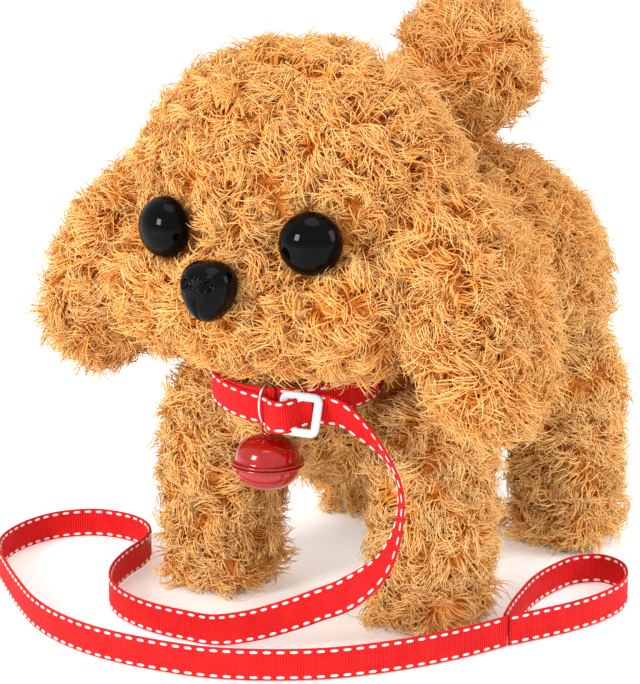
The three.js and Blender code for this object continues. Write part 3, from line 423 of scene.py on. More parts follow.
class Ribbon:
    """A flat ribbon along a line whose rows are a point and the way its edge points, in millimetres."""

    ACROSS = 10

    def __init__(self, line, closed=False, step=1.0):
        self.closed = closed
        line = even(line, step, closed)
        self.points = line[:, :3]
        if closed:
            tangents = np.roll(self.points, -1, axis=0) - np.roll(self.points, 1, axis=0)
        else:
            tangents = np.gradient(self.points, axis=0)
        self.tangents = tangents / np.linalg.norm(tangents, axis=1)[:, None]
        edges = line[:, 3:] - self.tangents * np.sum(line[:, 3:] * self.tangents, axis=1)[:, None]
        self.edges = edges / np.linalg.norm(edges, axis=1)[:, None]
        self.faces = np.cross(self.edges, self.tangents)
        self.length = float(np.sum(np.linalg.norm(np.diff(self.points, axis=0), axis=1)))

    def section(self):
        """Points round the ribbon's cross-section as (across, out)."""
        half_wide, half_thick = RIBBON_WIDTH / 2, RIBBON_THICKNESS / 2
        across = np.linspace(-1, 1, self.ACROSS + 1) * (half_wide - 0.25)
        top = [(a, half_thick) for a in across]
        bottom = [(a, -half_thick) for a in across[::-1]]
        return np.array(top + [(half_wide, 0)] + bottom + [(-half_wide, 0)])

    def mesh(self, name):
        section = self.section()
        rings = (
            self.points[:, None]
            + self.edges[:, None] * section[None, :, :1]
            + self.faces[:, None] * section[None, :, 1:]
        )
        mesh = grid_mesh(name, rings * MM, close_rows=self.closed, close_columns=True)
        run = run_along(self.points)
        count, across = len(self.points), len(section)
        layer = mesh.uv_layers.new(name="Ribbon")
        index = np.zeros(len(mesh.loops), int)
        mesh.loops.foreach_get("vertex_index", index)
        row, column = index // across, index % across
        pairs = np.stack([run[row], section[column, 0]], axis=1)
        layer.data.foreach_set("uv", pairs.astype(np.float32).ravel())
        if not self.closed:
            bm = bmesh.new()
            bm.from_mesh(mesh)
            bm.verts.ensure_lookup_table()
            for ring in (range(across - 1, -1, -1), range((count - 1) * across, count * across)):
                bm.faces.new([bm.verts[k] for k in ring])
            bmesh.ops.recalc_face_normals(bm, faces=bm.faces)
            bm.to_mesh(mesh)
            bm.free()
        return mesh

    def stitches(self, name, shown=1.0):
        """White running stitches beside both edges and on both faces, as one mesh of small closed lozenges.

        They run along the given share of the ribbon's length.
        """
        slices, sides = 7, 8
        long = STITCH["long"]
        run = run_along(self.points)
        starts = np.arange(STITCH["first"], run[-1] * shown - long, long + STITCH["gap"])
        share = np.linspace(0, 1, slices)
        swell = np.sqrt(np.clip(1 - (2 * share - 1) ** 4, 0.02, 1))
        turns = np.linspace(0, 2 * math.pi, sides, endpoint=False)
        wide = STITCH["half_wide"] * swell[:, None, None] * np.cos(turns)[None, :, None]
        high = STITCH["half_high"] * swell[:, None, None] * np.sin(turns)[None, :, None]
        vertices, quads = [], []
        columns = np.hstack([self.points, self.edges, self.faces])
        for face in (1, -1):
            for edge in (1, -1):
                for start in starts:
                    marks = start + share * long
                    rows = np.stack([np.interp(marks, run, columns[:, k]) for k in range(9)], axis=1)
                    centre = rows[:, :3] + rows[:, 3:6] * edge * (RIBBON_WIDTH / 2 - STITCH["inset"])
                    centre = centre + rows[:, 6:] * face * (RIBBON_THICKNESS / 2 + STITCH["proud"])
                    ring = centre[:, None] + rows[:, None, 3:6] * wide + rows[:, None, 6:] * high
                    first = len(vertices)
                    vertices.extend((ring.reshape(-1, 3) * MM).tolist())
                    for i in range(slices - 1):
                        for j in range(sides):
                            near, far = first + i * sides, first + (i + 1) * sides
                            k = (j + 1) % sides
                            quads.append([near + j, near + k, far + k, far + j])
                    quads.append([first + j for j in range(sides - 1, -1, -1)])
                    quads.append([first + (slices - 1) * sides + j for j in range(sides)])
        mesh = bpy.data.meshes.new(name)
        mesh.from_pydata(vertices, [], quads)
        bm = bmesh.new()
        bm.from_mesh(mesh)
        bmesh.ops.recalc_face_normals(bm, faces=bm.faces)
        bm.to_mesh(mesh)
        bm.free()
        smooth(mesh)
        return mesh


def standing(route):
    return [(x, y, RIBBON_ON_FLOOR) + ON_EDGE for x, y in route]


def sewn(name, ribbon, body, replaces=(), shown=1.0):
    """A ribbon on a body, stitched along the share of its length that shows."""
    strip = piece(name, ribbon.mesh(name), "ribbon")
    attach(strip, body)
    if replaces:
        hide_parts(*replaces)
    thread = piece(f"{name}_stitches", ribbon.stitches(f"{name}_stitches", shown), "ribbon", STITCH_THREAD)
    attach(thread, body)
    return strip, thread


leash_path = Ribbon(catmull_rom([p + e for p, e in DROP_ROUTE] + standing(FLOOR_ROUTE), 12))
loop_path = Ribbon(catmull_rom(standing(LOOP_ROUTE), 12))
leash, leash_stitches = sewn("leash", leash_path, "body", ["leash_ribbon"])
hand_loop, loop_stitches = sewn("hand_loop", loop_path, "body", ["leash_hand_loop"])


# ---------- collar
def collar_point(degrees, out=0.0, drop=0.0):
    """A point on the collar's circle: 0 degrees is the throat, and out is away from the neck."""
    angle = math.radians(degrees)
    radius = COLLAR["radius"] + out
    flat = Vector((radius * math.sin(angle), -radius * math.cos(angle), 0))
    flat.rotate(Matrix.Rotation(math.radians(COLLAR["tilt"]), 3, "X"))
    return flat + Vector(COLLAR["centre"]) - Vector((0, 0, drop))


COLLAR_UP = tuple(Matrix.Rotation(math.radians(COLLAR["tilt"]), 3, "X") @ Vector((0, 0, 1)))
# The strap that wraps over the collar to the slider: degrees, out, drop and the lean of its top.
WRAP_ROUTE = [
    (-62, 0.3, 0, 0), (-50, 0.9, 0, 0), (-35, 1.0, 0.1, 0), (-20, 1.0, 0.6, 0), (-6, 0.9, 1.3, 0),
    (6, 0.9, 1.9, 0), (12, 2.4, 2.3, 6), (15.5, 4.9, 2.3, 12), (19.5, 6.4, 2.2, 12), (24, 6.3, 2.2, 12),
    (28.5, 4.4, 2.2, 9), (35, 2.3, 2.0, 4), (41, 2.2, 1.8, 0),
]
COLLAR_SEAM = 18  # degrees, where the ring starts; from here on it shows past the wrap
COLLAR_SHOWN = 0.78  # the share of the ring that the wrap leaves in view


def leaning_up(degrees, lean):
    """The way up for a ribbon whose top leans in towards the neck."""
    outward = collar_point(degrees, 1) - collar_point(degrees)
    turned = Vector(COLLAR_UP) * math.cos(math.radians(lean)) - outward * math.sin(math.radians(lean))
    return tuple(turned)


def make_collar():
    turn = [tuple(collar_point(a)) + COLLAR_UP for a in range(COLLAR_SEAM, COLLAR_SEAM + 360, 4)]
    sewn("collar", Ribbon(np.array(turn), closed=True), "body", ["collar_band"], COLLAR_SHOWN)
    wrap = [tuple(collar_point(*place[:3])) + leaning_up(place[0], place[3]) for place in WRAP_ROUTE]
    sewn("collar_wrap", Ribbon(catmull_rom(wrap, 10)), "body")


make_collar()


def wire_ring(name, half_width, half_height, wire, steps=64, across=14):
    """A closed wire ring in the YZ plane."""
    t = np.linspace(0, 2 * math.pi, steps, endpoint=False)
    centre = np.stack([0 * t, half_width * np.sin(t), half_height * np.cos(t)], axis=1)
    out = np.stack([0 * t, np.sin(t) / half_width, np.cos(t) / half_height], axis=1)
    out /= np.linalg.norm(out, axis=1)[:, None]
    turn = np.linspace(0, 2 * math.pi, across, endpoint=False)
    side = np.array([1.0, 0, 0])
    points = (
        centre[:, None]
        + wire * out[:, None] * np.cos(turn)[None, :, None]
        + wire * side[None, None] * np.sin(turn)[None, :, None]
    )
    return weld(grid_mesh(name, points * MM, close_rows=True, close_columns=True))


def make_slider():
    """A flat moulded frame with rounded bars and corners, standing tangent to the collar."""
    corner, half_bar, half_thick = (SLIDER[k] for k in ("corner", "half_bar", "half_thick"))
    corner_steps, round_steps = 9, 20
    reach = (SLIDER["half_length"] - half_bar - corner, SLIDER["half_height"] - half_bar - corner)
    line, out = [], []
    for quarter, (x, z) in enumerate(((1, 1), (-1, 1), (-1, -1), (1, -1))):
        for angle in np.linspace(quarter, quarter + 1, corner_steps) * math.pi / 2:
            way = np.array([math.cos(angle), 0, math.sin(angle)])
            line.append(np.array([x * reach[0], 0, z * reach[1]]) + way * corner)
            out.append(way)
    turn = np.linspace(0, 2 * math.pi, round_steps, endpoint=False)

    def squared(wave):
        """A wave with flatter tops, which makes the bar's section a rounded box."""
        return np.sign(wave) * np.abs(wave) ** 0.6

    points = (
        np.array(line)[:, None]
        + np.array(out)[:, None] * (half_bar * squared(np.cos(turn)))[None, :, None]
        + np.array([0.0, 1, 0]) * (half_thick * squared(np.sin(turn)))[None, :, None]
    )
    mesh = weld(grid_mesh("slider_frame", points * MM, close_rows=True, close_columns=True))
    at = collar_point(SLIDER_ANGLE, SLIDER_OUT, SLIDER_DROOP)
    mesh.transform(
        Matrix.Translation(at * MM)
        @ Matrix.Rotation(math.radians(SLIDER_ANGLE), 4, "Z")
        @ Matrix.Rotation(math.radians(SLIDER["pitch"]), 4, "X")
        @ Matrix.Rotation(math.radians(SLIDER["roll"]), 4, "Y")
    )
    slider = piece("slider_frame", mesh, "nylon_white")
    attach(slider, "body")
    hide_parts("collar_slider")


make_slider()


def make_ring():
    mesh = wire_ring("wire_ring", RING["half_width"], RING["half_height"], RING["wire"])
    at = collar_point(RING_ANGLE) - Vector((0, 0, RING_DROP))
    turn = Matrix.Rotation(math.radians(RING_ANGLE + RING["turn"]), 4, "Z")
    mesh.transform(Matrix.Translation(at * MM) @ turn)
    ring = piece("wire_ring", mesh, "nickel")
    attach(ring, "body")
    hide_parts("bell_ring")


make_ring()


# ---------- bell
def bell_half(name, up):
    """Half a bell: a domed shell that ends in a flat flange, which meets the other half's."""
    radius, half, flange, wall = (BELL[k] for k in ("radius", "half", "flange", "wall"))
    shell, seam, rolled, thick = radius - 0.3, 0.2, 0.25, 0.9
    angles = np.linspace(0, math.pi / 2, 20)

    def dome(r, h):
        rise = h - thick
        return [(r * max(math.cos(a), 0) ** 0.8, thick + rise * math.sin(a) ** 0.92) for a in angles]

    outer = dome(shell, half)
    inner = dome(shell - wall, half - wall)[::-1]
    rim = [(shell - wall, seam), (flange - rolled, seam), (flange, 0.35), (flange, 0.75)]
    rim.append((flange - rolled, thick))
    fillet = [(radius + 0.1, thick), (radius - 0.2, 1.1)]
    mesh = lathe(name, inner + rim + fillet + outer[1:], 96)
    if not up:
        mesh.transform(Matrix.Rotation(math.pi, 4, "X"))
    return mesh


BELL_SLOT = {"size": (13, 1.8, 5), "lift": 1.5}
BELL_HOLE = {"at": 5.9, "radius": 1.75, "depth": 7, "lift": 1.2}


def slot_cutter():
    """The slot across the bowl and the round hole at each of its ends."""
    half = BELL["half"]
    bm = bmesh.new()
    at = Matrix.Translation((0, 0, (BELL_SLOT["lift"] - half) * MM))
    size = Matrix.Diagonal([side * MM for side in BELL_SLOT["size"]] + [1])
    bmesh.ops.create_cube(bm, size=1, matrix=at @ size)
    cutters = [holder("slot", mesh_of("slot", bm))]
    for side in SIDES.values():
        bm = bmesh.new()
        place = Matrix.Translation((side * BELL_HOLE["at"] * MM, 0, (BELL_HOLE["lift"] - half) * MM))
        radius, depth = BELL_HOLE["radius"] * MM, BELL_HOLE["depth"] * MM
        bmesh.ops.create_cone(
            bm, cap_ends=True, segments=32, radius1=radius, radius2=radius, depth=depth, matrix=place,
        )
        cutters.append(holder("hole", mesh_of("hole", bm)))
    return cutters


def cut_away(mesh, cutters):
    """The mesh with each cutter taken out of it; the cutters go."""
    name = mesh.name
    work = holder("work", mesh)
    for cutter in cutters:
        modifier = work.modifiers.new("cut", "BOOLEAN")
        modifier.operation = "DIFFERENCE"
        modifier.solver = "EXACT"
        modifier.object = cutter
    made = settle(name, work)
    for cutter in cutters:
        bpy.data.objects.remove(cutter)
    return made


def make_bell():
    at = Matrix.Translation(Vector(BELL["at"]) * MM)
    top = bell_half("bell_dome", True)
    bottom = cut_away(bell_half("bell_bowl", False), slot_cutter())
    half_width, half_height, wire = (BELL_LOOP[k] for k in ("half_width", "half_height", "wire"))
    loop = wire_ring("bell_eye", half_width, half_height, wire, 48, 12)
    lift = BELL["half"] + half_height + wire + BELL_LOOP["gap"] - BELL_LOOP["sunk"]
    loop.transform(Matrix.Translation((0, 0, lift * MM)) @ Matrix.Rotation(math.pi / 2, 4, "Z"))
    for mesh, node in ((top, "bell_top"), (bottom, "bell_bottom"), (loop, "bell_loop")):
        mesh.transform(at)
        made = piece(mesh.name, mesh, "bell_red")
        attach(made, "bell")
        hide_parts(node)


make_bell()


# ---------- eyes and nose
def make_eye(side_name):
    side = SIDES[side_name]
    angles = np.linspace(0, math.pi / 2, 28)
    radius, dome, back, rim = EYE["radius"], EYE["dome"], -2, 0.6
    curve = [(radius * math.cos(a), rim + (dome - rim) * math.sin(a)) for a in angles]
    profile = [(0, back), (radius * 0.9, back), (radius, -0.4)] + curve
    profile[-1] = (0, dome)
    mesh = lathe(f"eye_dome_{side_name}", profile, 96)
    aim = Vector((side * math.sin(math.radians(EYE["aim"])), -math.cos(math.radians(EYE["aim"])), 0))
    x, y, z = EYE["at"]
    turn = aim.to_track_quat("Z", "Y").to_matrix().to_4x4()
    at = Vector((side * x, y, z)) + aim * EYE["forward"]
    mesh.transform(Matrix.Translation(at * MM) @ turn)
    made = piece(mesh.name, mesh, "black_gloss")
    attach(made, "head")
    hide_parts(f"eye_{side_name}")


for side_name in SIDES:
    make_eye(side_name)


def line_distance(x, z, start, end):
    """How far each (x, z) lies from a straight line between two points."""
    along = np.subtract(end, start)
    share = np.clip(((x - start[0]) * along[0] + (z - start[1]) * along[1]) / np.dot(along, along), 0, 1)
    return np.hypot(x - start[0] - share * along[0], z - start[1] - share * along[1])


def make_nose():
    """A rounded triangle with two ringed nostrils, a pebbled patch between them and a groove below."""
    rows, columns = 130, 220
    polar = np.linspace(0, math.pi, rows)[:, None]
    round_ = np.linspace(0, 2 * math.pi, columns, endpoint=False)[None, :]
    x, z = np.sin(polar) * np.cos(round_), np.sin(polar) * np.sin(round_)
    y = -np.cos(polar) * np.ones_like(round_)
    wide, deep, high = NOSE["size"]
    taper = 0.86 + 0.24 * z - 0.06 * z**2
    fullness = 2.25
    square = 1 / (np.abs(x) ** fullness + np.abs(z) ** fullness + np.abs(y) ** fullness) ** (1 / fullness)
    px, py, pz = x * square * wide * taper, y * square * deep, z * square * high
    front = np.clip(-y, 0, 1)
    out = np.zeros_like(px)
    for side in SIDES.values():
        off = np.hypot(px - side * 3.8, (pz - 3.0) * 0.95)
        out += -1.6 * np.exp(-((off / 1.3) ** 4)) + 0.45 * np.exp(-(((off - 2.15) / 0.5) ** 2))
        crease = line_distance(px, pz, (side * 4.6, 0.4), (side * 6.4, -5.4))
        out -= 0.5 * np.exp(-((crease / 0.45) ** 2))
    dot_step = 1.15
    dots = np.cos(px * 2 * math.pi / dot_step) * np.cos(pz * 2 * math.pi / dot_step)
    patch = np.exp(-((px / 3.6) ** 4)) * np.exp(-(((pz - 1.6) / 4.4) ** 4))
    out += 0.22 * np.clip(dots, 0, 1) * patch
    groove = line_distance(px, pz, (0, -1.5), (0, -10))
    out -= 0.7 * np.exp(-((groove / 0.5) ** 2))
    py = py - out * front
    mesh = grid_mesh("nose_button", np.stack([px, py, pz], axis=-1) * MM, close_columns=True)
    weld(mesh, 2e-5)
    mesh.transform(Matrix.Translation(Vector(NOSE["at"]) * MM))
    made = piece("nose_button", mesh, "black_gloss")
    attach(made, "head")
    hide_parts("nose")


make_nose()


# ---------- plush skins
PILE_DEPTH = 7.3  # how far the backing lies inside a shape


def add_block(bm, low, high):
    """Adds a box between two corners, in millimetres."""
    centre = [(a + b) / 2 * MM for a, b in zip(low, high)]
    size = [(b - a) * MM for a, b in zip(low, high)]
    bmesh.ops.create_cube(bm, size=1, matrix=Matrix.Translation(centre) @ Matrix.Diagonal(size + [1]))


def blob(name, shapes, blocks=(), voxel=2.2, soften=10):
    """One smooth closed mesh round ellipsoids, each (centre, radii, turn about Y in degrees), and boxes."""
    bm = bmesh.new()
    for low, high in blocks:
        add_block(bm, low, high)
    for centre, radii, turn in shapes:
        inner = [r - PILE_DEPTH for r in radii]
        place = (
            Matrix.Translation(Vector(centre) * MM)
            @ Matrix.Rotation(math.radians(turn), 4, "Y")
            @ Matrix.Diagonal([r * MM for r in inner] + [1])
        )
        bmesh.ops.create_icosphere(bm, subdivisions=5, radius=1, matrix=place)
    return melted(name, bm, voxel, soften)


def melted(name, bm, voxel, soften):
    """One smooth closed mesh round all of a bmesh's bodies."""
    work = holder(name, mesh_of(name, bm))
    join = work.modifiers.new("join", "REMESH")
    join.mode = "VOXEL"
    join.voxel_size = voxel * MM
    even_out = work.modifiers.new("soften", "SMOOTH")
    even_out.factor = 0.5
    even_out.iterations = soften
    mesh = settle(name, work)
    smooth(mesh)
    return mesh


def leg_mesh(name, x, y):
    """A rounded column with a flat sole."""
    angles = np.linspace(-math.pi / 2, math.pi / 2, 40)
    power = 2 / LEG["squareness"]
    inset = PILE_DEPTH
    r = np.cos(angles).clip(0) ** power
    z = np.sign(np.sin(angles)) * np.abs(np.sin(angles)) ** power
    bottom, top = SOLE_Z, LEG["height"] - 2
    z = (bottom + top) / 2 + z * (top - bottom) / 2
    around = np.linspace(0, 2 * math.pi, 72, endpoint=False)
    points = np.stack(
        [
            x + np.outer(r, np.cos(around)) * (LEG["half_width"] - inset),
            y + np.outer(r, np.sin(around)) * (LEG["half_length"] - inset),
            np.tile(z[:, None], (1, len(around))),
        ],
        axis=-1,
    )
    column = weld(grid_mesh(name, points * MM, close_columns=True), 1e-5)
    bm = bmesh.new()
    bm.from_mesh(column)
    wide, long = FOOT["half_width"], FOOT["half_length"]
    add_block(bm, (x - wide, y - long, FOOT["low"]), (x + wide, y + long, FOOT["high"]))
    return melted(name, bm, voxel=1.8, soften=6)


# ---------- pile
def inside(points, shape, grow=0.0, turn=0.0):
    """Which points, in millimetres, lie in an ellipsoid."""
    centre, radii = np.array(shape[0], float), np.array(shape[1], float) + grow
    off = points - centre
    if turn:
        c, s = math.cos(math.radians(-turn)), math.sin(math.radians(-turn))
        x, y, z = off[..., 0], off[..., 1], off[..., 2]
        off = np.stack([c * x + s * z, y, -s * x + c * z], axis=-1)
    return np.sum((off / radii) ** 2, axis=-1) < 1


def in_leg(points, x, y, grow=0.0):
    across = (points[..., 0] - x) / (LEG["half_width"] + grow)
    along = (points[..., 1] - y) / (LEG["half_length"] + grow)
    off = np.hypot(across, along)
    return (off < 1) & (points[..., 2] < LEG["height"] + grow)


ribbon_tree = KDTree(len(leash_path.points))
for number, spot in enumerate(leash_path.points):
    ribbon_tree.insert(spot, number)
ribbon_tree.balance()

LEASH_ROOM = 7
LEASH_BOX = (leash_path.points.min(axis=0) - LEASH_ROOM, leash_path.points.max(axis=0) + LEASH_ROOM)


def near_leash(points, reach=5.6):
    flat = points.reshape(-1, 3)
    found = np.zeros(len(flat), bool)
    boxed = np.all((flat > LEASH_BOX[0]) & (flat < LEASH_BOX[1]), axis=1)
    for k in np.flatnonzero(boxed):
        found[k] = ribbon_tree.find(flat[k])[2] < reach
    return found.reshape(points.shape[:-1])


def in_collar(points):
    off = points - np.array(COLLAR["centre"])
    tilt = math.radians(-COLLAR["tilt"])
    c, s = math.cos(tilt), math.sin(tilt)
    y, z = c * off[..., 1] - s * off[..., 2], s * off[..., 1] + c * off[..., 2]
    radius = np.hypot(off[..., 0], y)
    inner, outer = COLLAR["radius"] - 1.4, COLLAR["radius"] + 6
    return (np.abs(z) < RIBBON_WIDTH / 2 + 0.8) & (radius > inner) & (radius < outer)


def face_parts():
    """The eyes and the nose as ellipsoids that pile lies round."""
    yield NOSE["at"], [r + 0.3 for r in NOSE["size"]]
    x, y, z = EYE["at"]
    for side in SIDES.values():
        yield (side * x, y, z), (EYE["radius"] + 0.2, EYE["dome"] + 0.2, EYE["radius"] + 0.2)


def hard_parts(points):
    """Which points, in millimetres, lie in the collar, its fittings or the bell."""
    hit = in_collar(points)
    slider = tuple(collar_point(SLIDER_ANGLE, SLIDER_OUT, SLIDER_DROOP))
    hit |= inside(points, (slider, (9.5, 9.5, 9.5)))
    ring = tuple(collar_point(RING_ANGLE, 2, 2))
    hit |= inside(points, (ring, (5, 6, 9)))
    hit |= inside(points, (BELL["at"], (12.5, 12.5, 12)))
    return hit


SEGMENTS = 6
STRANDS_PER_PIECE = 5800
RADII = np.array([0.26, 0.29, 0.28, 0.25, 0.20, 0.13])  # of a strand, from root to tip
LOCK_SIZE = 14  # strands in a lock
LOOSE_SHARE = 0.12  # strands that stray from their lock
BEND_POWER = 1.3  # how late a strand bends
GATHER = 0.11  # how fast a lock's strands close up
ROOT_DEPTH = 0.8
FLOOR_GAP = 0.15  # the lowest that a strand may hang


def scatter(mesh, count, rng):
    """Points in millimetres and normals spread evenly over a mesh."""
    mesh.calc_loop_triangles()
    corners = np.zeros(len(mesh.loop_triangles) * 3, int)
    mesh.loop_triangles.foreach_get("vertices", corners)
    corners = corners.reshape(-1, 3)
    places = np.zeros(len(mesh.vertices) * 3)
    mesh.vertices.foreach_get("co", places)
    places = places.reshape(-1, 3) / MM
    facing = np.zeros(len(mesh.vertices) * 3)
    mesh.vertices.foreach_get("normal", facing)
    facing = facing.reshape(-1, 3)
    a, b, c = (places[corners[:, k]] for k in range(3))
    areas = np.linalg.norm(np.cross(b - a, c - a), axis=1) / 2
    chosen = rng.choice(len(corners), count, p=areas / areas.sum())
    u, v = rng.random((2, count))
    flip = u + v > 1
    u[flip], v[flip] = 1 - u[flip], 1 - v[flip]
    weights = np.stack([1 - u - v, u, v], axis=1)[:, :, None]
    points = np.sum(places[corners[chosen]] * weights, axis=1)
    normals = np.sum(facing[corners[chosen]] * weights, axis=1)
    return points, normals / np.linalg.norm(normals, axis=1)[:, None], areas.sum()


def across_of(normals, wish):
    flat = wish - normals * np.sum(normals * wish, axis=1)[:, None]
    return flat / np.maximum(np.linalg.norm(flat, axis=1)[:, None], 1e-9)


def varied(rng, low, high, lock, spread):
    """A value for each strand: its lock's own, between two limits, and a little of the strand's."""
    shared = rng.uniform(low, high, lock.max() + 1)
    return shared[lock] + rng.normal(scale=spread, size=len(lock))


def curls(points, normals, rng, length, comb):
    """Centre lines of curved strands; those of one lock run side by side and close up at their tips."""
    count = len(points)
    locks = max(8, count // LOCK_SIZE)
    picks = rng.choice(count, locks, replace=False)
    tree = KDTree(locks)
    for number, pick in enumerate(picks):
        tree.insert(points[pick], number)
    tree.balance()
    lock = np.array([tree.find(p)[1] for p in points])
    loose = rng.random(count) < LOOSE_SHARE
    shared = rng.normal(size=(locks, 3)) + np.array(comb)
    wish = shared[lock] + rng.normal(scale=0.17, size=(count, 3))
    wish = wish + rng.normal(size=(count, 3)) * loose[:, None]
    lean = across_of(normals, wish)
    cross = np.cross(normals, lean)
    start = varied(rng, 0.1, 0.6, lock, 0.15)
    finish = varied(rng, 1.5, 2.9, lock, 0.3)
    sweep = varied(rng, -3.8, 3.8, lock, 0.5) + rng.normal(scale=1.2, size=count) * loose
    size = length * varied(rng, 0.8, 1.3, lock, 0.1)
    size = size * shortened_by_face(points)
    centre = np.empty((count, SEGMENTS + 1, 3))
    ways = np.empty((count, SEGMENTS + 1, 3))
    centre[:, 0] = points - normals * ROOT_DEPTH
    gather = (points[picks][lock] - points) * (GATHER * ~loose)[:, None]
    for k in range(SEGMENTS + 1):
        share = k / SEGMENTS
        tip = start + (finish - start) * share ** BEND_POWER
        side = sweep * share ** BEND_POWER
        ways[:, k] = (
            normals * np.cos(tip)[:, None]
            + lean * (np.sin(tip) * np.cos(side))[:, None]
            + cross * (np.sin(tip) * np.sin(side))[:, None]
        )
        if k < SEGMENTS:
            centre[:, k + 1] = centre[:, k] + ways[:, k] * (size / SEGMENTS)[:, None] + gather * share
    return centre, ways, lock


def shortened_by_face(points):
    """The share of its length that a strand keeps: less beside the eyes and the nose."""
    keep = np.ones(len(points))
    for middle, radii in face_parts():
        far = np.linalg.norm((points - np.array(middle)) / np.array(radii), axis=1)
        keep = np.minimum(keep, np.clip(0.3 + 0.7 * (far - 1.05) / 0.9, 0.3, 1))
    return keep


def pushed_out(points, centre, radii):
    """The points, with those inside an ellipsoid moved out to its face."""
    off = (points - np.array(centre)) / np.array(radii)
    far = np.linalg.norm(off, axis=-1)[..., None]
    return np.where(far < 1, np.array(centre) + off / np.maximum(far, 1e-6) * np.array(radii), points)


def strand_mesh(name, centre, ways, tone):
    """Closed, tapered three-sided strands as one mesh, with a map from root to tip."""
    count = len(centre)
    rings = SEGMENTS
    helper = np.where(np.abs(ways[..., 2:]) > 0.8, [1.0, 0, 0], [0, 0, 1.0])
    side = np.cross(ways, helper)
    side /= np.linalg.norm(side, axis=-1)[..., None]
    other = np.cross(ways, side)
    turn = np.arange(3) * 2 * math.pi / 3
    spread = (
        side[:, :rings, None] * np.cos(turn)[None, None, :, None]
        + other[:, :rings, None] * np.sin(turn)[None, None, :, None]
    )
    body = centre[:, :rings, None] + spread * RADII[None, :, None, None]
    points = np.concatenate([body.reshape(count, rings * 3, 3), centre[:, rings:]], axis=1)
    points[..., 2] = np.maximum(points[..., 2], FLOOR_GAP)
    size = rings * 3 + 1
    quads = [
        (i * 3 + j, i * 3 + (j + 1) % 3, i * 3 + 3 + (j + 1) % 3, i * 3 + 3 + j)
        for i in range(rings - 1)
        for j in range(3)
    ]
    last = (rings - 1) * 3
    triangles = [(last + j, last + (j + 1) % 3, size - 1) for j in range(3)] + [(2, 1, 0)]
    shapes = quads + triangles
    corners = np.array([c for shape in shapes for c in shape])
    totals = np.array([len(shape) for shape in shapes])
    loops = (np.arange(count)[:, None] * size + corners[None]).ravel()
    lengths = np.tile(totals, count)
    mesh = bpy.data.meshes.new(name)
    mesh.vertices.add(count * size)
    mesh.vertices.foreach_set("co", (points * MM).astype(np.float32).ravel())
    mesh.loops.add(len(loops))
    mesh.loops.foreach_set("vertex_index", loops.astype(np.int32))
    mesh.polygons.add(len(lengths))
    mesh.polygons.foreach_set("loop_start", (np.cumsum(lengths) - lengths).astype(np.int32))
    mesh.update(calc_edges=True)
    along = np.minimum(corners // 3, rings) / rings
    over = np.where(corners == size - 1, 0.5, corners % 3 / 2)
    across = tone[:, None] * 0.96 + over[None] * 0.02
    layer = mesh.uv_layers.new(name="OFBake")
    pairs = np.stack([across, np.broadcast_to(along * 0.96 + 0.02, across.shape)], axis=-1)
    layer.data.foreach_set("uv", pairs.astype(np.float32).ravel())
    smooth(mesh)
    return mesh


def pile(name, mesh, seed, place, density=1.35, length=12, comb=(0, 0, -0.4), keep=None, pale=None):
    """Grows pile on a backing mesh; place(piece) is called on each of its pieces."""
    rng = np.random.default_rng(seed)
    area = scatter(mesh, 8, np.random.default_rng(0))[2]
    points, normals, _ = scatter(mesh, int(area * density), rng)
    if keep is not None:
        wanted = keep(points)
        points, normals = points[wanted], normals[wanted]
    centre, ways, lock = curls(points, normals, rng, length, comb)
    clear = ~np.any(hard_parts(centre) | near_leash(centre), axis=1)
    for middle, radii in face_parts():
        clear &= ~inside(points, (middle, radii), -1.5)
        centre = pushed_out(centre, middle, radii)
    tone = varied(rng, 0.05, 0.75, lock, 0.16)
    # pale raises the strands' tone; the lower torso and the legs use it as painted fill light.
    if pale is not None:
        tone = tone + pale(points)
    tone = np.clip(tone, 0, 1)
    centre, ways, tone = centre[clear], ways[clear], tone[clear]
    parts = math.ceil(len(centre) / STRANDS_PER_PIECE)
    for part in range(parts):
        pick = slice(part, None, parts)
        label = f"{name}_pile" if parts == 1 else f"{name}_pile_{part + 1}"
        made = piece(label, strand_mesh(label, centre[pick], ways[pick], tone[pick]), "fur", PILE)
        place(made)


def backing(name, mesh, place, stands_for=()):
    made = piece(name, mesh, "fur")
    place(made)
    if stands_for:
        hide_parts(*stands_for)
    return made


def rides(body):
    return lambda made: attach(made, body)


def bends():
    return lambda made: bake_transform(made)


def in_torso(points, grow=0.0):
    hit = np.zeros(points.shape[:-1], bool)
    for shape in (CHEST, BELLY, RUMP, NECK):
        hit |= inside(points, shape, grow)
    return hit


def head_shapes():
    (x, y, z), radii = CHEEK
    return [HEAD + (0,), MUZZLE + (0,)] + [((side * x, y, z), radii, 0) for side in SIDES.values()]


def in_head(points, grow=0.0):
    hit = np.zeros(points.shape[:-1], bool)
    for centre, radii, _ in head_shapes():
        hit |= inside(points, (centre, radii), grow)
    return hit


def in_hatch(points):
    return (
        (np.abs(points[..., 0]) < HATCH["half_width"])
        & (points[..., 1] > HATCH["front"])
        & (points[..., 1] < HATCH["back"])
        & (points[..., 2] < HATCH["top"] + 4)
    )


def make_torso():
    mesh = blob("torso_backing", [s + (0,) for s in (CHEST, BELLY, RUMP, NECK)], CASING_BLOCKS)
    bm = bmesh.new()
    wide, under = HATCH["half_width"], 20
    add_block(bm, (-wide, HATCH["front"], under), (wide, HATCH["back"], HATCH["top"] + 1))
    mesh = cut_away(mesh, [holder("hatch", mesh_of("hatch", bm))])
    smooth(mesh)
    backing("torso_backing", mesh, rides("body"), ["body_skin"])

    def keep(points):
        hidden = in_head(points, -8) | in_hatch(points)
        for y in LEG_Y.values():
            for side in SIDES.values():
                hidden |= in_leg(points, side * LEG_X, y, -9)
        return ~hidden

    pile(
        "torso", mesh, 11, rides("body"), density=1.12, keep=keep, comb=(0, 0.35, -0.5),
        # pale: the torso's strands grow paler below 108 mm, painted fill light that lifts the shade under the
        # chest and belly.
        pale=lambda points: 0.95 * np.clip((108 - points[:, 2]) / 40, 0, 1),
    )


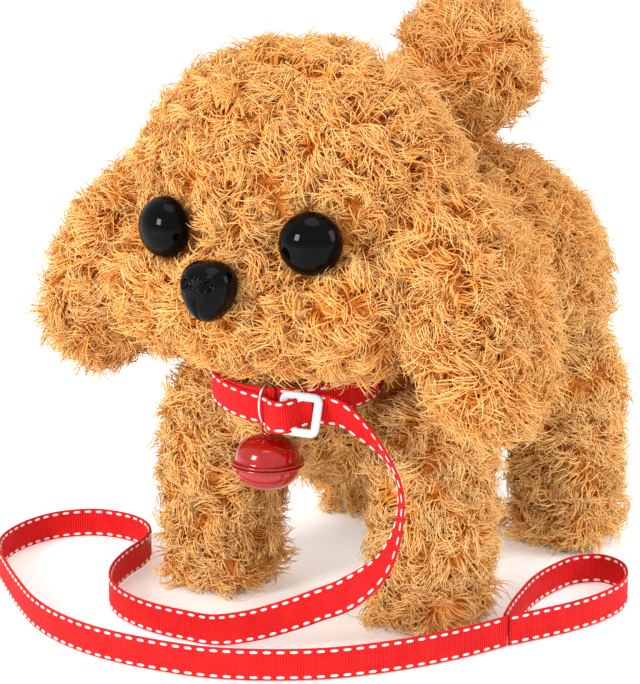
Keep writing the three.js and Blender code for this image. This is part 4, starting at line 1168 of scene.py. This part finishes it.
def make_head():
    mesh = blob("head_backing", head_shapes(), soften=14)
    backing("head_backing", mesh, rides("head"), ["head_skin"])

    def keep(points):
        hidden = in_torso(points, -8)
        for side_name, ear in EARS.items():
            hidden |= inside(points, ear["at"], -9, -SIDES[side_name] * ear["splay"])
        return ~hidden

    pile("head", mesh, 23, rides("head"), comb=(0, -0.1, -0.4), keep=keep)


def make_ear(side_name):
    side, ear = SIDES[side_name], EARS[side_name]
    mesh = blob(f"ear_backing_{side_name}", [ear["at"] + (-side * ear["splay"],)])
    place = bends()
    backing(f"ear_backing_{side_name}", mesh, place, [f"ear_{side_name}"])
    pile(
        f"ear_{side_name}", mesh, 31 + side, place, length=13, comb=(0, 0, -0.6),
        keep=lambda points: ~in_head(points, -9),
        pale=lambda points: 0.3 * np.clip((85 - points[:, 2]) / 25, 0, 1),
    )


def make_leg(end, side_name):
    side = SIDES[side_name]
    x, y = side * LEG_X, LEG_Y[end]
    mesh = leg_mesh(f"leg_backing_{end}_{side_name}", x, y)
    place = bends()
    backing(mesh.name, mesh, place, [f"{end}_leg_skin_{side_name}"])
    seed = 41 + 2 * side + (7 if end == "hind" else 0)
    pile(
        f"leg_{end}_{side_name}", mesh, seed, place, density=1.15, length=10.5,
        # pale: every leg strand is made paler, partly the legs' own yellower colour and partly painted fill
        # light for the shade they stand in.
        pale=lambda points: np.full(len(points), 1.0),
        keep=lambda points: ~in_torso(points, -8) & (points[:, 2] > SOLE_Z + 0.2),
    )


def make_tail():
    mesh = blob("tail_backing", [TAIL + (0,)])
    backing("tail_backing", mesh, rides("tail"), ["tail_pompom"])
    pile("tail", mesh, 61, rides("tail"), comb=(0, 0, 0.1))
    stalk = blob("tail_stalk", [TAIL_STALK + (0,)], soften=4)
    place = bends()
    backing("tail_stalk", stalk, place)
    pile("tail_stalk", stalk, 67, place, length=11, keep=lambda points: points[:, 2] > 126)


make_torso()
make_head()
make_tail()
for side_name in SIDES:
    make_ear(side_name)
    for end in LEG_Y:
        make_leg(end, side_name)

# ---------- kept CAD nodes
for row in frame["record"]["subparts"]:
    node = NODES[row["node"]]
    node.data.materials.clear()
    node.data.materials.append(MATERIALS[row["material_slot"]])

# ---------- floor, world and lights
FLOOR_SIZE = 60


def make_stage():
    bm = bmesh.new()
    bmesh.ops.create_grid(bm, x_segments=2, y_segments=2, size=FLOOR_SIZE / 2)
    mesh = mesh_of("floor", bm)
    floor = holder("floor", mesh)
    paper = Surface("floor_paper", (250, 250, 250), 0.8, Emission_Strength=FLOOR_GLOW)
    paper.put("Emission Color", (1, 1, 1, 1))
    mesh.materials.append(paper.material)


def make_world():
    world = bpy.data.worlds.new("studio")
    bpy.context.scene.world = world
    world.use_nodes = True
    sky = world.node_tree.nodes["Background"]
    sky.inputs["Color"].default_value = (1, 1, 1, 1)
    sky.inputs["Strength"].default_value = WORLD_STRENGTH


LIGHT_AIM = (0, -10, 90)
# Each soft box: its place, its width and height, and its power in watts.
LIGHTS = {
    "front_window": ((-250, -790, 380), (200, 235), 4.9),
    "side_window": ((760, 200, 420), (380, 430), 2.7),
}
SUN = {"from": (60, -120, 980), "angle": 40, "strength": 0.85}
WORLD_STRENGTH = 0.88
FLOOR_GLOW = 0.2


def make_lights():
    for name, (at, (width, height), power) in LIGHTS.items():
        data = bpy.data.lights.new(name, "AREA")
        data.shape = "RECTANGLE"
        data.size, data.size_y = width * MM, height * MM
        data.energy = power
        lamp = holder(name, data)
        lamp.location = Vector(at) * MM
        aim = Vector(LIGHT_AIM) - Vector(at)
        lamp.rotation_euler = aim.to_track_quat("-Z", "Y").to_euler()


def make_sun():
    """A wide soft sun, which lights the floor evenly as far as the camera sees."""
    data = bpy.data.lights.new("sun", "SUN")
    data.angle = math.radians(SUN["angle"])
    data.energy = SUN["strength"]
    lamp = holder("sun", data)
    lamp.rotation_euler = (-Vector(SUN["from"])).to_track_quat("-Z", "Y").to_euler()


make_stage()
make_world()
make_lights()
make_sun()
bpy.context.scene.view_settings.view_transform = "Standard"
